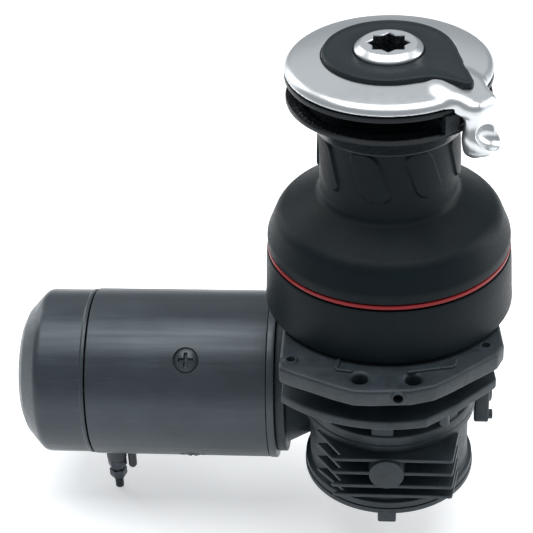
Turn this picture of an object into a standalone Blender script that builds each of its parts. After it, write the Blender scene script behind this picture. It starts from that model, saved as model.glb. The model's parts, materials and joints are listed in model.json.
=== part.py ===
"""Electric self-tailing sheet winch with its under-deck gearbox and motor.

The winch axis is Z and the drum turns about it. The mounting plane, where the ear pads of the gearbox
flange meet the deck, is z = 0. The motor lies along X on the -X side and the finned front faces -Y.
Lengths below are millimetres and become metres where a mesh is made.
"""

import math

import bmesh
import bpy
from mathutils import Matrix, Vector

MM = 0.001

# Clearances
GAP = 0.3                    # between pieces that touch when real
RUN = 0.4                    # between pieces that turn or slide on each other

# Drum, from the waist out to the skirt
WAIST_R = 40.2
DRUM_BASE_R = 71.8
SKIRT_FLARE = 2.4            # from the drum's side out to the skirt's foot
SKIRT_BOTTOM_Z = 1.5
RED_RING_Z = 37.1
RED_RING_H = 3.2
RED_GAP = 1.1                # dark joint line under the red ring
SHOULDER_Z = 48.6            # top of the straight side of the drum
SHOULDER_ROUND = 12.8
SHOULDER_SLOPE = 29.4        # degrees below level
WAIST_FILLET = 8.0
LEDGE_Z = 121.0              # top of the waist, where the jaw springs stand
LEDGE_W = 5.7
SPIGOT_WALL = 3.0
SPIGOT_TOP_Z = 149.6
DRUM_WALL = 5.3

# Grip pads on the waist
PAD_COUNT = 8
PAD_START = -71.0            # degrees, first pad's leading edge at half height
PAD_RISE = 1.3
PAD_SPAN = 24.0              # degrees around the waist
PAD_LEAN = 14.0              # degrees from top to bottom
PAD_Z = (88.5, 118.6)

# Self-tailing jaws
JAW_R = 58.2
JAW_SKIRT_Z = 119.9          # lowest edge of the lower jaw
JAW_RIM_Z = 137.9
JAW_RIM_H = 2.4
JAW_MOUTH = 11.6             # between the two rims
JAW_HUB_R = 46.0
JAW_TRAVEL = 4.0
SPRING_COUNT = 3
SPRING_R = 2.4
SPRING_WIRE_R = 0.45
SPRING_TURNS = 3.0

# Cap and feeder arm
CAP_R = 58.7
CAP_BOTTOM_Z = 153.0
CAP_EDGE_H = 4.9
CAP_TOP_Z = 162.6
CAP_RECESS_Z = 160.0
INSERT_R = 37.2
INSERT_H = 3.5
ARM_AZIMUTH = -41.0          # degrees, direction of the arm from the axis
ARM_THICK = 11.5
ARM_HALF_W = 12.5
ARM_BOTTOM_Z = 122.0

# Handle socket
SOCKET_AF = 17.5             # across the flats of each of the star's two squares
SOCKET_DEPTH = 25.0
SOCKET_WALL = 1.7
COLLAR_W = 7.1               # from the star's tips out to the collar's edge
CAP_BORE_CLEAR = 1.9         # around the socket's hub
COLLAR_TOP_Z = 168.2

# Centre stand
COLUMN_WALL = 6.0            # bearing and clearance between the column and the spigot's bore
BASE_FLANGE_INSET = 2.8      # inside the drum's side
BASE_FLANGE_TOP = 6.0
BASE_DECK_Z = (37.2, 42.0)
BASE_DECK_CLEAR = 3.8        # inside the ring gear's pitch circle
SPINDLE_R = 11.5

# Gear train from spindle to drum
PINION_TEETH = 15
IDLER_TEETH = 20
RING_TEETH = PINION_TEETH + 2 * IDLER_TEETH
RING_BAND = 14.0             # drum base radius down to the ring gear's pitch circle
LOW_GEAR_Z = (8.0, 19.5)
HIGH_GEAR_Z = (21.0, 32.5)
ADDENDUM = 0.75              # of the module
DEDENDUM = 1.05
IDLER_SHAFT_R = 5.0
PAWL_LIFT = 12.0             # degrees

# Gearbox flange
FLANGE_TOP_Z = -1.0
FLANGE_SLAB_H = 12.0
RIM_R = 91.5
RIM_Z = (-33.1, -27.1)
NECK_R = 66.0
FLANGE_LEFT_X = -61.6
EAR_HOLE_R = 2.5
BIG_HOLE_R = 4.8
PAD_TOP_Z = 0.0

# Gearbox
GEARBOX_R = 53.0
GEARBOX_RING_Z = (-81.6, -69.0)
GEARBOX_BOTTOM_Z = -126.4
COVER_H = 3.9
FIN_COUNT = 4
FIN_TOP_Z = -81.0
FIN_PITCH = 10.2
FIN_THICK = 2.6
FIN_FRONT_Y = -60.0
FIN_HALF_W = 40.0
BOSS_R = 11.0
CAVITY_R = 36.0

# Worm drive
WORM_Z = -92.1               # height of the motor and worm axis
WHEEL_TEETH = 24
WORM_STARTS = 2
WHEEL_PITCH_R = 28.5
WORM_PITCH_R = 9.5
WORM_Y = WHEEL_PITCH_R + WORM_PITCH_R
WHEEL_H = 16.0
WORM_LENGTH = 34.0
OUTPUT_BEARING_R = 20.0
OUTPUT_BEARING_H = 9.0
WORM_BEARING_R = 14.0
WORM_BEARING_W = 8.0
TUNNEL_R = 20.5
WORM_COVER_X = (54.5, 64.0)
WORM_COVER_HALF = 22.0

# Motor
MOTOR_R = 54.4
MOTOR_WALL = 4.0
SHIELD_X = -71.8             # right face of the drive-end shield
SHIELD_W = 4.8
MOTOR_SEAM_X = -192.1
END_CAP_LENGTH = 46.4
END_CAP_CONE = ((0.0, 14.5), (4.5, 10.0), (12.5, 3.5), (19.5, 0.0))  # in from the side, up from the end
END_CAP_WALL = 3.0
POLE_SCREW_X = -127.4
POLE_SCREW_R = 7.6
SHAFT_R = 6.0
POLE_DEPTH = 14.4            # pole shoe and air gap
POLE_AIR_GAP = 3.0
STUD_X = -183.6
STUD_Y = 26.0
INSULATOR_DROP = 9.5         # below the tube
STUB_OFFSET = 10.4

RED = (0.62, 0.02, 0.02)
BLACK = (0.018, 0.024, 0.030)
CASTING = (0.030, 0.038, 0.045)
MOTOR_GREY = (0.045, 0.055, 0.065)
SILVER = (0.55, 0.57, 0.58)
STEEL = (0.42, 0.43, 0.44)
BRONZE = (0.45, 0.27, 0.10)
COPPER = (0.50, 0.22, 0.12)


# ---------------------------------------------------------------- scene and materials

def clear_scene():
    for obj in list(bpy.data.objects):
        bpy.data.objects.remove(obj, do_unlink=True)


def collection(name):
    made = bpy.data.collections.new(name)
    bpy.context.scene.collection.children.link(made)
    return made


clear_scene()
PARTS = collection("electric_winch")
CUTTERS = collection("cutters")


def paint(name, color, roughness, metallic):
    """A Principled material."""
    material = bpy.data.materials.new(name)
    material.use_nodes = True
    shader = material.node_tree.nodes["Principled BSDF"]
    shader.inputs["Base Color"].default_value = (*color, 1.0)
    shader.inputs["Roughness"].default_value = roughness
    shader.inputs["Metallic"].default_value = metallic
    return material


PAINTS = {
    "drum_black": paint("drum_black", BLACK, 0.55, 0.3),
    "jaw_black": paint("jaw_black", BLACK, 0.45, 0.0),
    "insert_black": paint("insert_black", CASTING, 0.4, 0.0),
    "trim_red": paint("trim_red", RED, 0.35, 0.0),
    "polished": paint("polished", SILVER, 0.2, 1.0),
    "casting": paint("casting", CASTING, 0.65, 0.4),
    "motor_paint": paint("motor_paint", MOTOR_GREY, 0.4, 0.4),
    "steel": paint("steel", STEEL, 0.35, 1.0),
    "bronze": paint("bronze", BRONZE, 0.35, 1.0),
    "copper": paint("copper", COPPER, 0.4, 1.0),
    "carbon": paint("carbon", (0.02, 0.02, 0.02), 0.7, 0.0),
    "insulator": paint("insulator", (0.03, 0.03, 0.035), 0.5, 0.0),
}


# ---------------------------------------------------------------- shape helpers

def add_object(name, mesh, finish):
    """Links a mesh as a part, or as a hidden cutter when finish is None."""
    obj = bpy.data.objects.new(name, mesh)
    if finish is None:
        CUTTERS.objects.link(obj)
        obj.hide_render = True
        obj.display_type = "WIRE"
    else:
        PARTS.objects.link(obj)
        obj.data.materials.append(PAINTS[finish])
    return obj


def along_x(obj, x=0.0, y=WORM_Y, z=WORM_Z):
    """Turns an object's own Z onto the world's X, on the motor axis."""
    obj.rotation_euler = (0.0, math.pi / 2, 0.0)
    obj.location = Vector((x, y, z)) * MM
    return obj


def finish_mesh(bm, name):
    mesh = bpy.data.meshes.new(name)
    bmesh.ops.recalc_face_normals(bm, faces=bm.faces)
    bm.to_mesh(mesh)
    bm.free()
    mesh.shade_smooth()
    mesh.set_sharp_from_angle(angle=math.radians(35))
    return mesh


def turned(name, profile, finish, steps=40):
    """A profile of (radius, height), outer side from the top down, turned about Z.

    A profile that starts and ends on the axis is open; any other is closed on itself.
    """
    mesh = bpy.data.meshes.new(name)
    points = [(r * MM, 0.0, z * MM) for r, z in profile]
    edges = [(i, i + 1) for i in range(len(points) - 1)]
    if profile[0][0] > 0:
        edges.append((len(points) - 1, 0))
    mesh.from_pydata(points, edges, [])
    obj = add_object(name, mesh, finish)
    screw = obj.modifiers.new("turn", "SCREW")
    screw.axis = "Z"
    screw.angle = math.tau
    screw.steps = steps
    screw.render_steps = steps
    screw.use_merge_vertices = True
    screw.merge_threshold = 0.000001
    screw.use_smooth_shade = True
    return obj


def disc(name, radius, z0, z1, finish=None, bore=0.0, steps=32):
    """A plain cylinder between two heights, or a ring when it has a bore."""
    if bore > 0:
        profile = [(radius, z1), (radius, z0), (bore, z0), (bore, z1)]
    else:
        profile = [(0.0, z1), (radius, z1), (radius, z0), (0.0, z0)]
    return turned(name, profile, finish, steps)


def rod(name, radius, x0, x1, finish=None, bore=0.0, steps=24, y=WORM_Y, z=WORM_Z):
    """A cylinder or ring that lies along X."""
    return along_x(disc(name, radius, x0, x1, finish, bore, steps), y=y, z=z)


def plate(name, loops, z0, z1, finish=None):
    """Flat outlines (the first one outside, the rest holes) made into a slab."""
    curve = bpy.data.curves.new(name, "CURVE")
    curve.dimensions = "2D"
    curve.fill_mode = "BOTH"
    curve.extrude = 0.5 * (z1 - z0) * MM
    for loop in loops:
        spline = curve.splines.new("POLY")
        spline.points.add(len(loop) - 1)
        for point, (x, y) in zip(spline.points, loop):
            point.co = (x * MM, y * MM, 0.0, 1.0)
        spline.use_cyclic_u = True
    flat = bpy.data.objects.new(name + "_outline", curve)
    flat.location = (0.0, 0.0, 0.5 * (z0 + z1) * MM)
    CUTTERS.objects.link(flat)
    bpy.context.view_layer.update()
    graph = bpy.context.evaluated_depsgraph_get()
    mesh = bpy.data.meshes.new_from_object(flat.evaluated_get(graph))
    mesh.transform(flat.matrix_world)
    bm = bmesh.new()
    bm.from_mesh(mesh)
    bmesh.ops.remove_doubles(bm, verts=bm.verts, dist=0.000001)
    bpy.data.objects.remove(flat, do_unlink=True)
    bpy.data.meshes.remove(mesh)
    return add_object(name, finish_mesh(bm, name), finish)


def block(name, low, high, finish=None):
    """A box between two corners."""
    bm = bmesh.new()
    size = [(b - a) * MM for a, b in zip(low, high)]
    middle = [0.5 * (a + b) * MM for a, b in zip(low, high)]
    matrix = Matrix.Translation(middle) @ Matrix.Diagonal((*size, 1.0))
    bmesh.ops.create_cube(bm, size=1.0, matrix=matrix)
    return add_object(name, finish_mesh(bm, name), finish)


def ball(name, center, radii, turn=None, finish=None, segments=12, rings=6):
    """An ellipsoid, turned by a matrix about its own centre."""
    bm = bmesh.new()
    matrix = Matrix.Translation(Vector(center) * MM)
    if turn is not None:
        matrix = matrix @ turn.to_4x4()
    matrix = matrix @ Matrix.Diagonal((*[r * MM for r in radii], 1.0))
    bmesh.ops.create_uvsphere(bm, u_segments=segments, v_segments=rings, radius=1.0, matrix=matrix)
    return add_object(name, finish_mesh(bm, name), finish)


def loft(name, rings, finish=None):
    """Closed rings of points, one after the other, skinned and capped at both ends."""
    bm = bmesh.new()
    rows = [[bm.verts.new(Vector(p) * MM) for p in ring] for ring in rings]
    count = len(rows[0])
    for low, high in zip(rows, rows[1:]):
        for i in range(count):
            j = (i + 1) % count
            bm.faces.new((low[i], low[j], high[j], high[i]))
    bm.faces.new(rows[0][::-1])
    bm.faces.new(rows[-1])
    return add_object(name, finish_mesh(bm, name), finish)


def combine(obj, tool, operation):
    modifier = obj.modifiers.new(operation.lower(), "BOOLEAN")
    modifier.operation = operation
    modifier.solver = "EXACT"
    modifier.object = tool
    return obj


def cut(obj, *tools):
    for tool in tools:
        combine(obj, tool, "DIFFERENCE")
    return obj


def join(obj, *tools):
    for tool in tools:
        combine(obj, tool, "UNION")
    return obj


def bevel(obj, width, segments=2, angle=40.0):
    modifier = obj.modifiers.new("bevel", "BEVEL")
    modifier.width = width * MM
    modifier.segments = segments
    modifier.limit_method = "ANGLE"
    modifier.angle_limit = math.radians(angle)
    return obj


def polar(radius, degrees):
    angle = math.radians(degrees)
    return (radius * math.cos(angle), radius * math.sin(angle))


def arc(center, radius, start, end, count):
    """Points on an arc, angles in degrees."""
    points = []
    for i in range(count + 1):
        x, y = polar(radius, start + (end - start) * i / count)
        points.append((center[0] + x, center[1] + y))
    return points


def circle(radius, count=32, center=(0.0, 0.0)):
    return arc(center, radius, 0.0, 360.0 * (count - 1) / count, count - 1)


def hexagon(radius, center=(0.0, 0.0)):
    return circle(radius, 6, center)


def gear_outline(teeth, module, phase=0.0, internal=False):
    """Straight-flanked teeth. The phase is in tooth pitches; a tooth's centre is at angle zero."""
    pitch_r = 0.5 * teeth * module
    side = -1.0 if internal else 1.0
    tip = pitch_r + side * ADDENDUM * module
    root = pitch_r - side * DEDENDUM * module
    points = []
    for k in range(teeth):
        for radius, share in ((root, -0.31), (tip, -0.12), (tip, 0.12), (root, 0.31)):
            points.append(polar(radius, 360.0 * (k + phase + share) / teeth))
    return points


# ---------------------------------------------------------------- drum and skirt

SKIRT_R = DRUM_BASE_R + SKIRT_FLARE
BASE_FLANGE_R = DRUM_BASE_R - BASE_FLANGE_INSET
SPIGOT_R = WAIST_R - LEDGE_W
DRUM_BORE_R = SPIGOT_R - SPIGOT_WALL
COLUMN_R = DRUM_BORE_R - COLUMN_WALL
RING_PITCH_R = DRUM_BASE_R - RING_BAND
BASE_DECK_R = RING_PITCH_R - BASE_DECK_CLEAR
GEAR_MODULE = 2.0 * RING_PITCH_R / RING_TEETH
RING_GEAR_R = RING_PITCH_R + DEDENDUM * GEAR_MODULE + 4.2
RED_TOP_Z = RED_RING_Z + RED_RING_H
RING_GEAR_TOP_Z = RED_TOP_Z + 6.0
DRUM_FLOOR_Z = BASE_DECK_Z[1] + 3.0


def drum_profile():
    """Outer side from the spigot down to the red ring, then the inside back up to the bore."""
    lean = math.radians(SHOULDER_SLOPE)
    round_x = DRUM_BASE_R - SHOULDER_ROUND
    shoulder = arc((round_x, SHOULDER_Z), SHOULDER_ROUND, 90.0 - SHOULDER_SLOPE, 0.0, 4)
    fillet_x = WAIST_R + WAIST_FILLET
    drop = WAIST_FILLET * math.sin(math.radians(270.0 - SHOULDER_SLOPE))
    foot_x = fillet_x + WAIST_FILLET * math.cos(math.radians(270.0 - SHOULDER_SLOPE))
    foot_z = shoulder[0][1] + (shoulder[0][0] - foot_x) * math.tan(lean)
    fillet = arc((fillet_x, foot_z - drop), WAIST_FILLET, 180.0, 270.0 - SHOULDER_SLOPE, 2)
    seat_r = RING_GEAR_R + GAP
    bottom_z = RED_TOP_Z + GAP
    inside_top = foot_z - DRUM_WALL
    return (
        [(SPIGOT_R, SPIGOT_TOP_Z), (SPIGOT_R, LEDGE_Z), (WAIST_R - 0.8, LEDGE_Z)]
        + fillet + shoulder
        + [(DRUM_BASE_R, bottom_z), (seat_r, bottom_z), (seat_r, RING_GEAR_TOP_Z + GAP)]
        + [(seat_r - 6.5, RING_GEAR_TOP_Z + GAP), (WAIST_R + 6.0, inside_top - 2.5)]
        + [(DRUM_BORE_R, inside_top - 1.0), (DRUM_BORE_R, SPIGOT_TOP_Z)]
    )


def grip_pad(index):
    """One slanted raised pad, as a skin between two radii that follows the waist."""
    start = PAD_START + 360.0 * index / PAD_COUNT
    inner = WAIST_R - 2.0
    outer = WAIST_R + PAD_RISE
    rings = []
    levels = 2
    for level in range(levels + 1):
        share = level / levels
        z = PAD_Z[0] + (PAD_Z[1] - PAD_Z[0]) * share
        first = start + PAD_LEAN * (0.5 - share)
        azimuths = [first + PAD_SPAN * i / 3 for i in range(4)]
        ring = [(*polar(outer, a), z) for a in azimuths]
        ring += [(*polar(inner, a), z) for a in reversed(azimuths)]
        rings.append(ring)
    return loft(f"pad_{index + 1}", rings)


def build_drum():
    drum = turned("drum", drum_profile(), "drum_black", 36)
    for index in range(PAD_COUNT):
        join(drum, grip_pad(index))
    red_inner = RING_GEAR_R + GAP
    turned("red_ring", [
        (DRUM_BASE_R + 0.2, RED_TOP_Z), (DRUM_BASE_R + 0.2, RED_RING_Z),
        (red_inner, RED_RING_Z), (red_inner, RED_TOP_Z),
    ], "trim_red", 36)
    top_z = RED_RING_Z - RED_GAP
    wall = 3.0
    web_z = top_z - 7.0
    turned("skirt", [
        (red_inner + 3.0, RED_RING_Z - GAP), (red_inner + 3.0, top_z), (DRUM_BASE_R + 0.4, top_z),
        (DRUM_BASE_R + 1.2, top_z - 10.0), (DRUM_BASE_R + 2.0, 0.5 * SKIRT_BOTTOM_Z + 6.0),
        (SKIRT_R, SKIRT_BOTTOM_Z), (SKIRT_R - wall, SKIRT_BOTTOM_Z),
        (DRUM_BASE_R + 0.4 - wall, web_z), (red_inner, web_z), (red_inner, RED_RING_Z - GAP),
    ], "drum_black", 36)
    teeth = gear_outline(RING_TEETH, GEAR_MODULE, internal=True)
    low_z = HIGH_GEAR_Z[0] + 0.5
    plate("drum_ring_gear", [circle(RING_GEAR_R, 36), teeth], low_z, RING_GEAR_TOP_Z, "steel")


# ---------------------------------------------------------------- jaws and springs

def build_jaws():
    bore = SPIGOT_R + RUN
    chamber = WAIST_R + PAD_RISE + 0.6
    rim_top = JAW_RIM_Z
    rim_low = rim_top - JAW_RIM_H
    cone_z = rim_top - 5.4
    step_z = LEDGE_Z + JAW_TRAVEL + 4.6
    foot_z = JAW_SKIRT_Z + 2.0
    flare = arc((JAW_R + 3.0, 0.0), JAW_R + 3.0 - (chamber + 1.4), 180.0, 112.0, 2)
    steepness = (rim_low - 0.8 - foot_z) / flare[-1][1]
    flare = [(r, foot_z + z * steepness) for r, z in flare]
    turned("lower_jaw", [
        (JAW_R - 0.6, rim_top), (JAW_R, rim_top - 0.6), (JAW_R, rim_low)]
        + flare[::-1]
        + [(chamber + 1.2, JAW_SKIRT_Z), (chamber, JAW_SKIRT_Z), (chamber, step_z), (bore, step_z),
           (bore, cone_z), (JAW_HUB_R, cone_z)], "jaw_black", 32)
    upper_rim = rim_top + JAW_MOUTH
    turned("upper_jaw", [
        (JAW_R + 0.3, CAP_BOTTOM_Z - 1.0), (JAW_R + 0.3, upper_rim), (JAW_R - 0.6, upper_rim),
        (JAW_HUB_R, upper_rim - 5.6), (SPIGOT_R + 4.0, upper_rim - 5.6),
        (SPIGOT_R + GAP, upper_rim - 7.0), (SPIGOT_R + GAP, SPIGOT_TOP_Z + GAP),
        (SPIGOT_R - 3.0, SPIGOT_TOP_Z + GAP), (SPIGOT_R - 3.0, CAP_BOTTOM_Z - 1.0),
    ], "jaw_black", 32)
    low = LEDGE_Z + GAP + SPRING_WIRE_R
    high = step_z - GAP - SPRING_WIRE_R
    for index in range(SPRING_COUNT):
        center = polar(SPIGOT_R + LEDGE_W * 0.5, 360.0 * index / SPRING_COUNT + 30.0)
        jaw_spring(f"jaw_spring_{index + 1}", center, SPRING_R, low, high)


def jaw_spring(name, center, radius, low, high):
    """A round-wire compression spring as one tube."""
    per_turn = 6
    count = int(SPRING_TURNS * per_turn)
    curve = bpy.data.curves.new(name, "CURVE")
    curve.dimensions = "3D"
    curve.bevel_depth = SPRING_WIRE_R * MM
    curve.bevel_resolution = 0
    curve.use_fill_caps = True
    spline = curve.splines.new("POLY")
    spline.points.add(count)
    for i, point in enumerate(spline.points):
        x, y = polar(radius, 360.0 * i / per_turn)
        z = low + (high - low) * i / count
        point.co = ((center[0] + x) * MM, (center[1] + y) * MM, z * MM, 1.0)
    obj = bpy.data.objects.new(name, curve)
    PARTS.objects.link(obj)
    curve.materials.append(PAINTS["steel"])


# ---------------------------------------------------------------- cap, arm and insert

ARM_IN = JAW_R + 2.2
SOCKET_TIP_R = SOCKET_AF / math.sqrt(2.0)
SOCKET_HUB_R = SOCKET_TIP_R + SOCKET_WALL
COLLAR_R = SOCKET_TIP_R + COLLAR_W


def insert_outline(grow=0.0):
    """A circle drawn out to a rounded tip over the arm, in polar form."""
    tip = [(-62.0, 0.0), (-53.0, 3.2), (-47.0, 13.5), (-43.5, 20.5), (-39.5, 22.3), (-35.5, 20.2),
           (-27.5, 9.8), (-14.0, 2.2), (0.0, 0.0)]
    points = [polar(INSERT_R + grow + rise, a) for a, rise in tip]
    points += arc((0.0, 0.0), INSERT_R + grow, 14.0, 284.0, 18)
    return points


def lobe_outline(inner, outer, half_w, corner=4.0):
    """A rounded tab that reaches out along the arm's azimuth."""
    angle = math.radians(ARM_AZIMUTH)
    flat = [(inner, -half_w - 3.0)]
    flat += arc((outer - corner, -half_w + corner), corner, -90.0, 0.0, 3)
    flat += arc((outer - corner, half_w - corner), corner, 0.0, 90.0, 3)
    flat += [(inner, half_w + 3.0)]
    return [
        (u * math.cos(angle) - v * math.sin(angle), u * math.sin(angle) + v * math.cos(angle))
        for u, v in flat
    ]


def build_cap():
    edge_z = CAP_BOTTOM_Z + CAP_EDGE_H
    floor_r = INSERT_R - 9.0
    bore = SOCKET_HUB_R + CAP_BORE_CLEAR
    profile = [
        (INSERT_R + 1.0, CAP_TOP_Z), (INSERT_R + 8.0, CAP_TOP_Z - 1.3), (CAP_R - 6.0, edge_z + 1.6),
        (CAP_R - 1.5, edge_z), (CAP_R, edge_z - 1.5), (CAP_R, CAP_BOTTOM_Z + 0.8),
        (CAP_R - 0.8, CAP_BOTTOM_Z), (bore, CAP_BOTTOM_Z),
        (bore, CAP_RECESS_Z - 3.0), (floor_r, CAP_RECESS_Z - 3.0),
        (floor_r, CAP_RECESS_Z),
    ]
    cap = turned("self_tailing_arm", profile, "polished", 32)
    arm_out = ARM_IN + ARM_THICK
    roof = plate("arm_roof", [lobe_outline(CAP_R - 14.0, arm_out, ARM_HALF_W + 3.0)],
                 CAP_BOTTOM_Z + 0.5, edge_z + 0.6)
    leg = plate("arm_leg", [lobe_outline(ARM_IN, arm_out, ARM_HALF_W - 3.0, 3.0)],
                ARM_BOTTOM_Z + 6.0, CAP_BOTTOM_Z + 2.0)
    lip_r = arm_out - 2.5
    turn = Matrix.Rotation(math.radians(ARM_AZIMUTH + 90.0), 3, "Z")
    turn = turn @ Matrix.Rotation(math.radians(-16.0), 3, "Y")
    lip_center = (*polar(lip_r, ARM_AZIMUTH + 2.0), ARM_BOTTOM_Z + 8.0)
    lip = ball("arm_lip", lip_center, (19.0, 8.3, 8.0), turn)
    scoop_center = (*polar(lip_r + 8.0, ARM_AZIMUTH + 5.0), ARM_BOTTOM_Z + 15.0)
    scoop = ball("arm_scoop", scoop_center, (12.0, 8.5, 7.0), turn)
    clear = disc("jaw_space", ARM_IN, ARM_BOTTOM_Z - 20.0, CAP_BOTTOM_Z - 0.2, steps=40)
    join(cap, roof, leg, lip)
    cut(cap, scoop, clear)
    pocket = plate("insert_pocket", [insert_outline(GAP)], CAP_RECESS_Z, CAP_TOP_Z + 4.0)
    cut(cap, pocket)
    hole = circle(COLLAR_R + RUN, 24)
    plate("top_insert", [insert_outline(), hole], CAP_RECESS_Z + GAP, CAP_RECESS_Z + GAP + INSERT_H,
          "insert_black")


def build_stripper():
    """The line stripper: a full-height outer cheek beside the arm and a thin tongue in the groove."""
    low = JAW_RIM_Z + 0.6
    high = JAW_RIM_Z + JAW_MOUTH - 0.9
    start = ARM_AZIMUTH - 20.5
    end = ARM_AZIMUTH - 7.0
    cheek_r = JAW_R + 1.0
    outer_r = JAW_R + 5.0
    cheek = arc((0.0, 0.0), outer_r, start, end, 3) + arc((0.0, 0.0), cheek_r, end, start, 3)
    stripper = plate("line_stripper", [cheek], low - 1.2, high + 1.2, "jaw_black")
    tongue = arc((0.0, 0.0), cheek_r + 1.0, start, end - 2.0, 3)
    tongue += arc((0.0, 0.0), JAW_HUB_R + 2.0, end - 2.0, start, 3)
    middle = 0.5 * (low + high) - 1.2
    join(stripper, plate("stripper_tongue", [tongue], middle - 2.2, middle + 2.2))
    arm_space = [lobe_outline(ARM_IN - 2.0, ARM_IN + ARM_THICK + 2.0, ARM_HALF_W - 2.2, 3.0)]
    cut(stripper, plate("stripper_arm_space", arm_space, low - 5.0, high + 5.0))


# ---------------------------------------------------------------- handle socket and spindle

SOCKET_BOTTOM_Z = COLLAR_TOP_Z - SOCKET_DEPTH - 3.0
COLLAR_BOTTOM_Z = CAP_RECESS_Z + GAP


def star_outline():
    """The recess that two crossed squares leave: eight tips, eased a little between them."""
    valley = 0.5 * SOCKET_AF / math.cos(math.radians(22.5)) + 0.15
    return [polar(SOCKET_TIP_R if i % 2 == 0 else valley, 22.5 * i) for i in range(16)]


def build_socket():
    floor_z = COLLAR_TOP_Z - SOCKET_DEPTH
    pilot_r = 0.35 * SOCKET_AF
    socket = turned("handle_socket", [
        (0.0, floor_z + 0.4), (pilot_r, floor_z + 0.4), (pilot_r, COLLAR_TOP_Z),
        (COLLAR_R - 4.0, COLLAR_TOP_Z), (COLLAR_R, COLLAR_TOP_Z - 3.2), (COLLAR_R, COLLAR_BOTTOM_Z),
        (SOCKET_HUB_R, COLLAR_BOTTOM_Z), (SOCKET_HUB_R, SOCKET_BOTTOM_Z), (0.0, SOCKET_BOTTOM_Z),
    ], "polished", 30)
    recess = plate("star_recess", [star_outline()], floor_z, COLLAR_TOP_Z + 3.0)
    cut(socket, recess)


def build_spindle():
    """The main spindle with its pinion; its lower end carries the worm wheel."""
    wheel_top = WORM_Z + 0.5 * WHEEL_H
    foot_r = SPINDLE_R - 2.0
    foot_z = GEARBOX_BOTTOM_Z + 1.5
    spindle = turned("spindle", [
        (0.0, SOCKET_BOTTOM_Z - GAP), (SPINDLE_R, SOCKET_BOTTOM_Z - GAP), (SPINDLE_R, wheel_top + 1.0),
        (foot_r, wheel_top + 1.0), (foot_r, foot_z), (0.0, foot_z),
    ], "steel", 20)
    pinion = gear_outline(PINION_TEETH, GEAR_MODULE)
    join(spindle, plate("pinion_teeth", [pinion], LOW_GEAR_Z[0], LOW_GEAR_Z[1]))


# ---------------------------------------------------------------- centre stand

IDLER_X = 0.5 * (PINION_TEETH + IDLER_TEETH) * GEAR_MODULE


def build_stand():
    top_z = CAP_BOTTOM_Z - GAP
    bore = SPINDLE_R + RUN
    socket_bore = SOCKET_HUB_R + RUN
    foot = disc("winch_base", BASE_FLANGE_R, FLANGE_TOP_Z + GAP, BASE_FLANGE_TOP, "casting", bore, 28)
    column = disc("stand_column", COLUMN_R, BASE_DECK_Z[0] + 1.0, top_z, bore=bore, steps=28)
    deck = disc("stand_deck", BASE_DECK_R - 2.5, *BASE_DECK_Z, bore=bore, steps=28)
    join(foot, deck, column)
    inner = IDLER_X - 4.0
    outer = BASE_DECK_R - 5.0
    for index, azimuth in enumerate((95.0, 180.0, 265.0)):
        wall = arc((0.0, 0.0), outer, azimuth - 16.0, azimuth + 16.0, 3)
        wall += arc((0.0, 0.0), inner, azimuth + 16.0, azimuth - 16.0, 3)
        join(foot, plate(f"stand_pillar_{index + 1}", [wall], BASE_FLANGE_TOP - 1.0, BASE_DECK_Z[0] + 1.0))
    cut(foot, disc("socket_space", socket_bore, SOCKET_BOTTOM_Z - 1.0, top_z + 5.0, steps=24))
    shaft_hole = disc("idler_shaft_space", IDLER_SHAFT_R + GAP, 2.0, BASE_DECK_Z[0] + 2.5, steps=16)
    shaft_hole.location.x = IDLER_X * MM
    cut(foot, shaft_hole)
    shaft = disc("idler_shaft", IDLER_SHAFT_R, 2.0 + GAP, BASE_DECK_Z[0] + 2.2, "steel", steps=16)
    shaft.location.x = IDLER_X * MM
    for index, azimuth in enumerate((-122.5, -57.5, 57.5, 122.5)):
        x, y = polar(BASE_FLANGE_R - 6.0, azimuth)
        hole = disc(f"base_bolt_space_{index + 1}", 3.0 + GAP, RIM_Z[0] - 20.0, BASE_FLANGE_TOP + 2.0,
                    steps=10)
        hole.location = (x * MM, y * MM, 0.0)
        cut(foot, hole)
        head = plate(f"base_bolt_{index + 1}", [hexagon(5.0)], BASE_FLANGE_TOP + GAP, BASE_FLANGE_TOP + 4.3,
                     "steel")
        join(head, moved(disc(f"bolt_shank_{index + 1}", 3.0, RIM_Z[0] - 6.5, BASE_FLANGE_TOP + 2.0,
                              steps=10), x, y))
        head.location = (x * MM, y * MM, 0.0)
    bearing_outer = DRUM_BORE_R - GAP
    bearing_inner = COLUMN_R + GAP
    low = SHOULDER_Z + 18.0
    disc("lower_drum_bearing", bearing_outer, low, low + 12.0, "bronze", bearing_inner, 28)
    disc("upper_drum_bearing", bearing_outer, LEDGE_Z - 8.0, LEDGE_Z + 4.0, "bronze", bearing_inner, 28)


def moved(obj, x, y, z=0.0):
    obj.location = Vector((x, y, z)) * MM
    return obj


# ---------------------------------------------------------------- idler, ratchet and pawls

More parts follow.
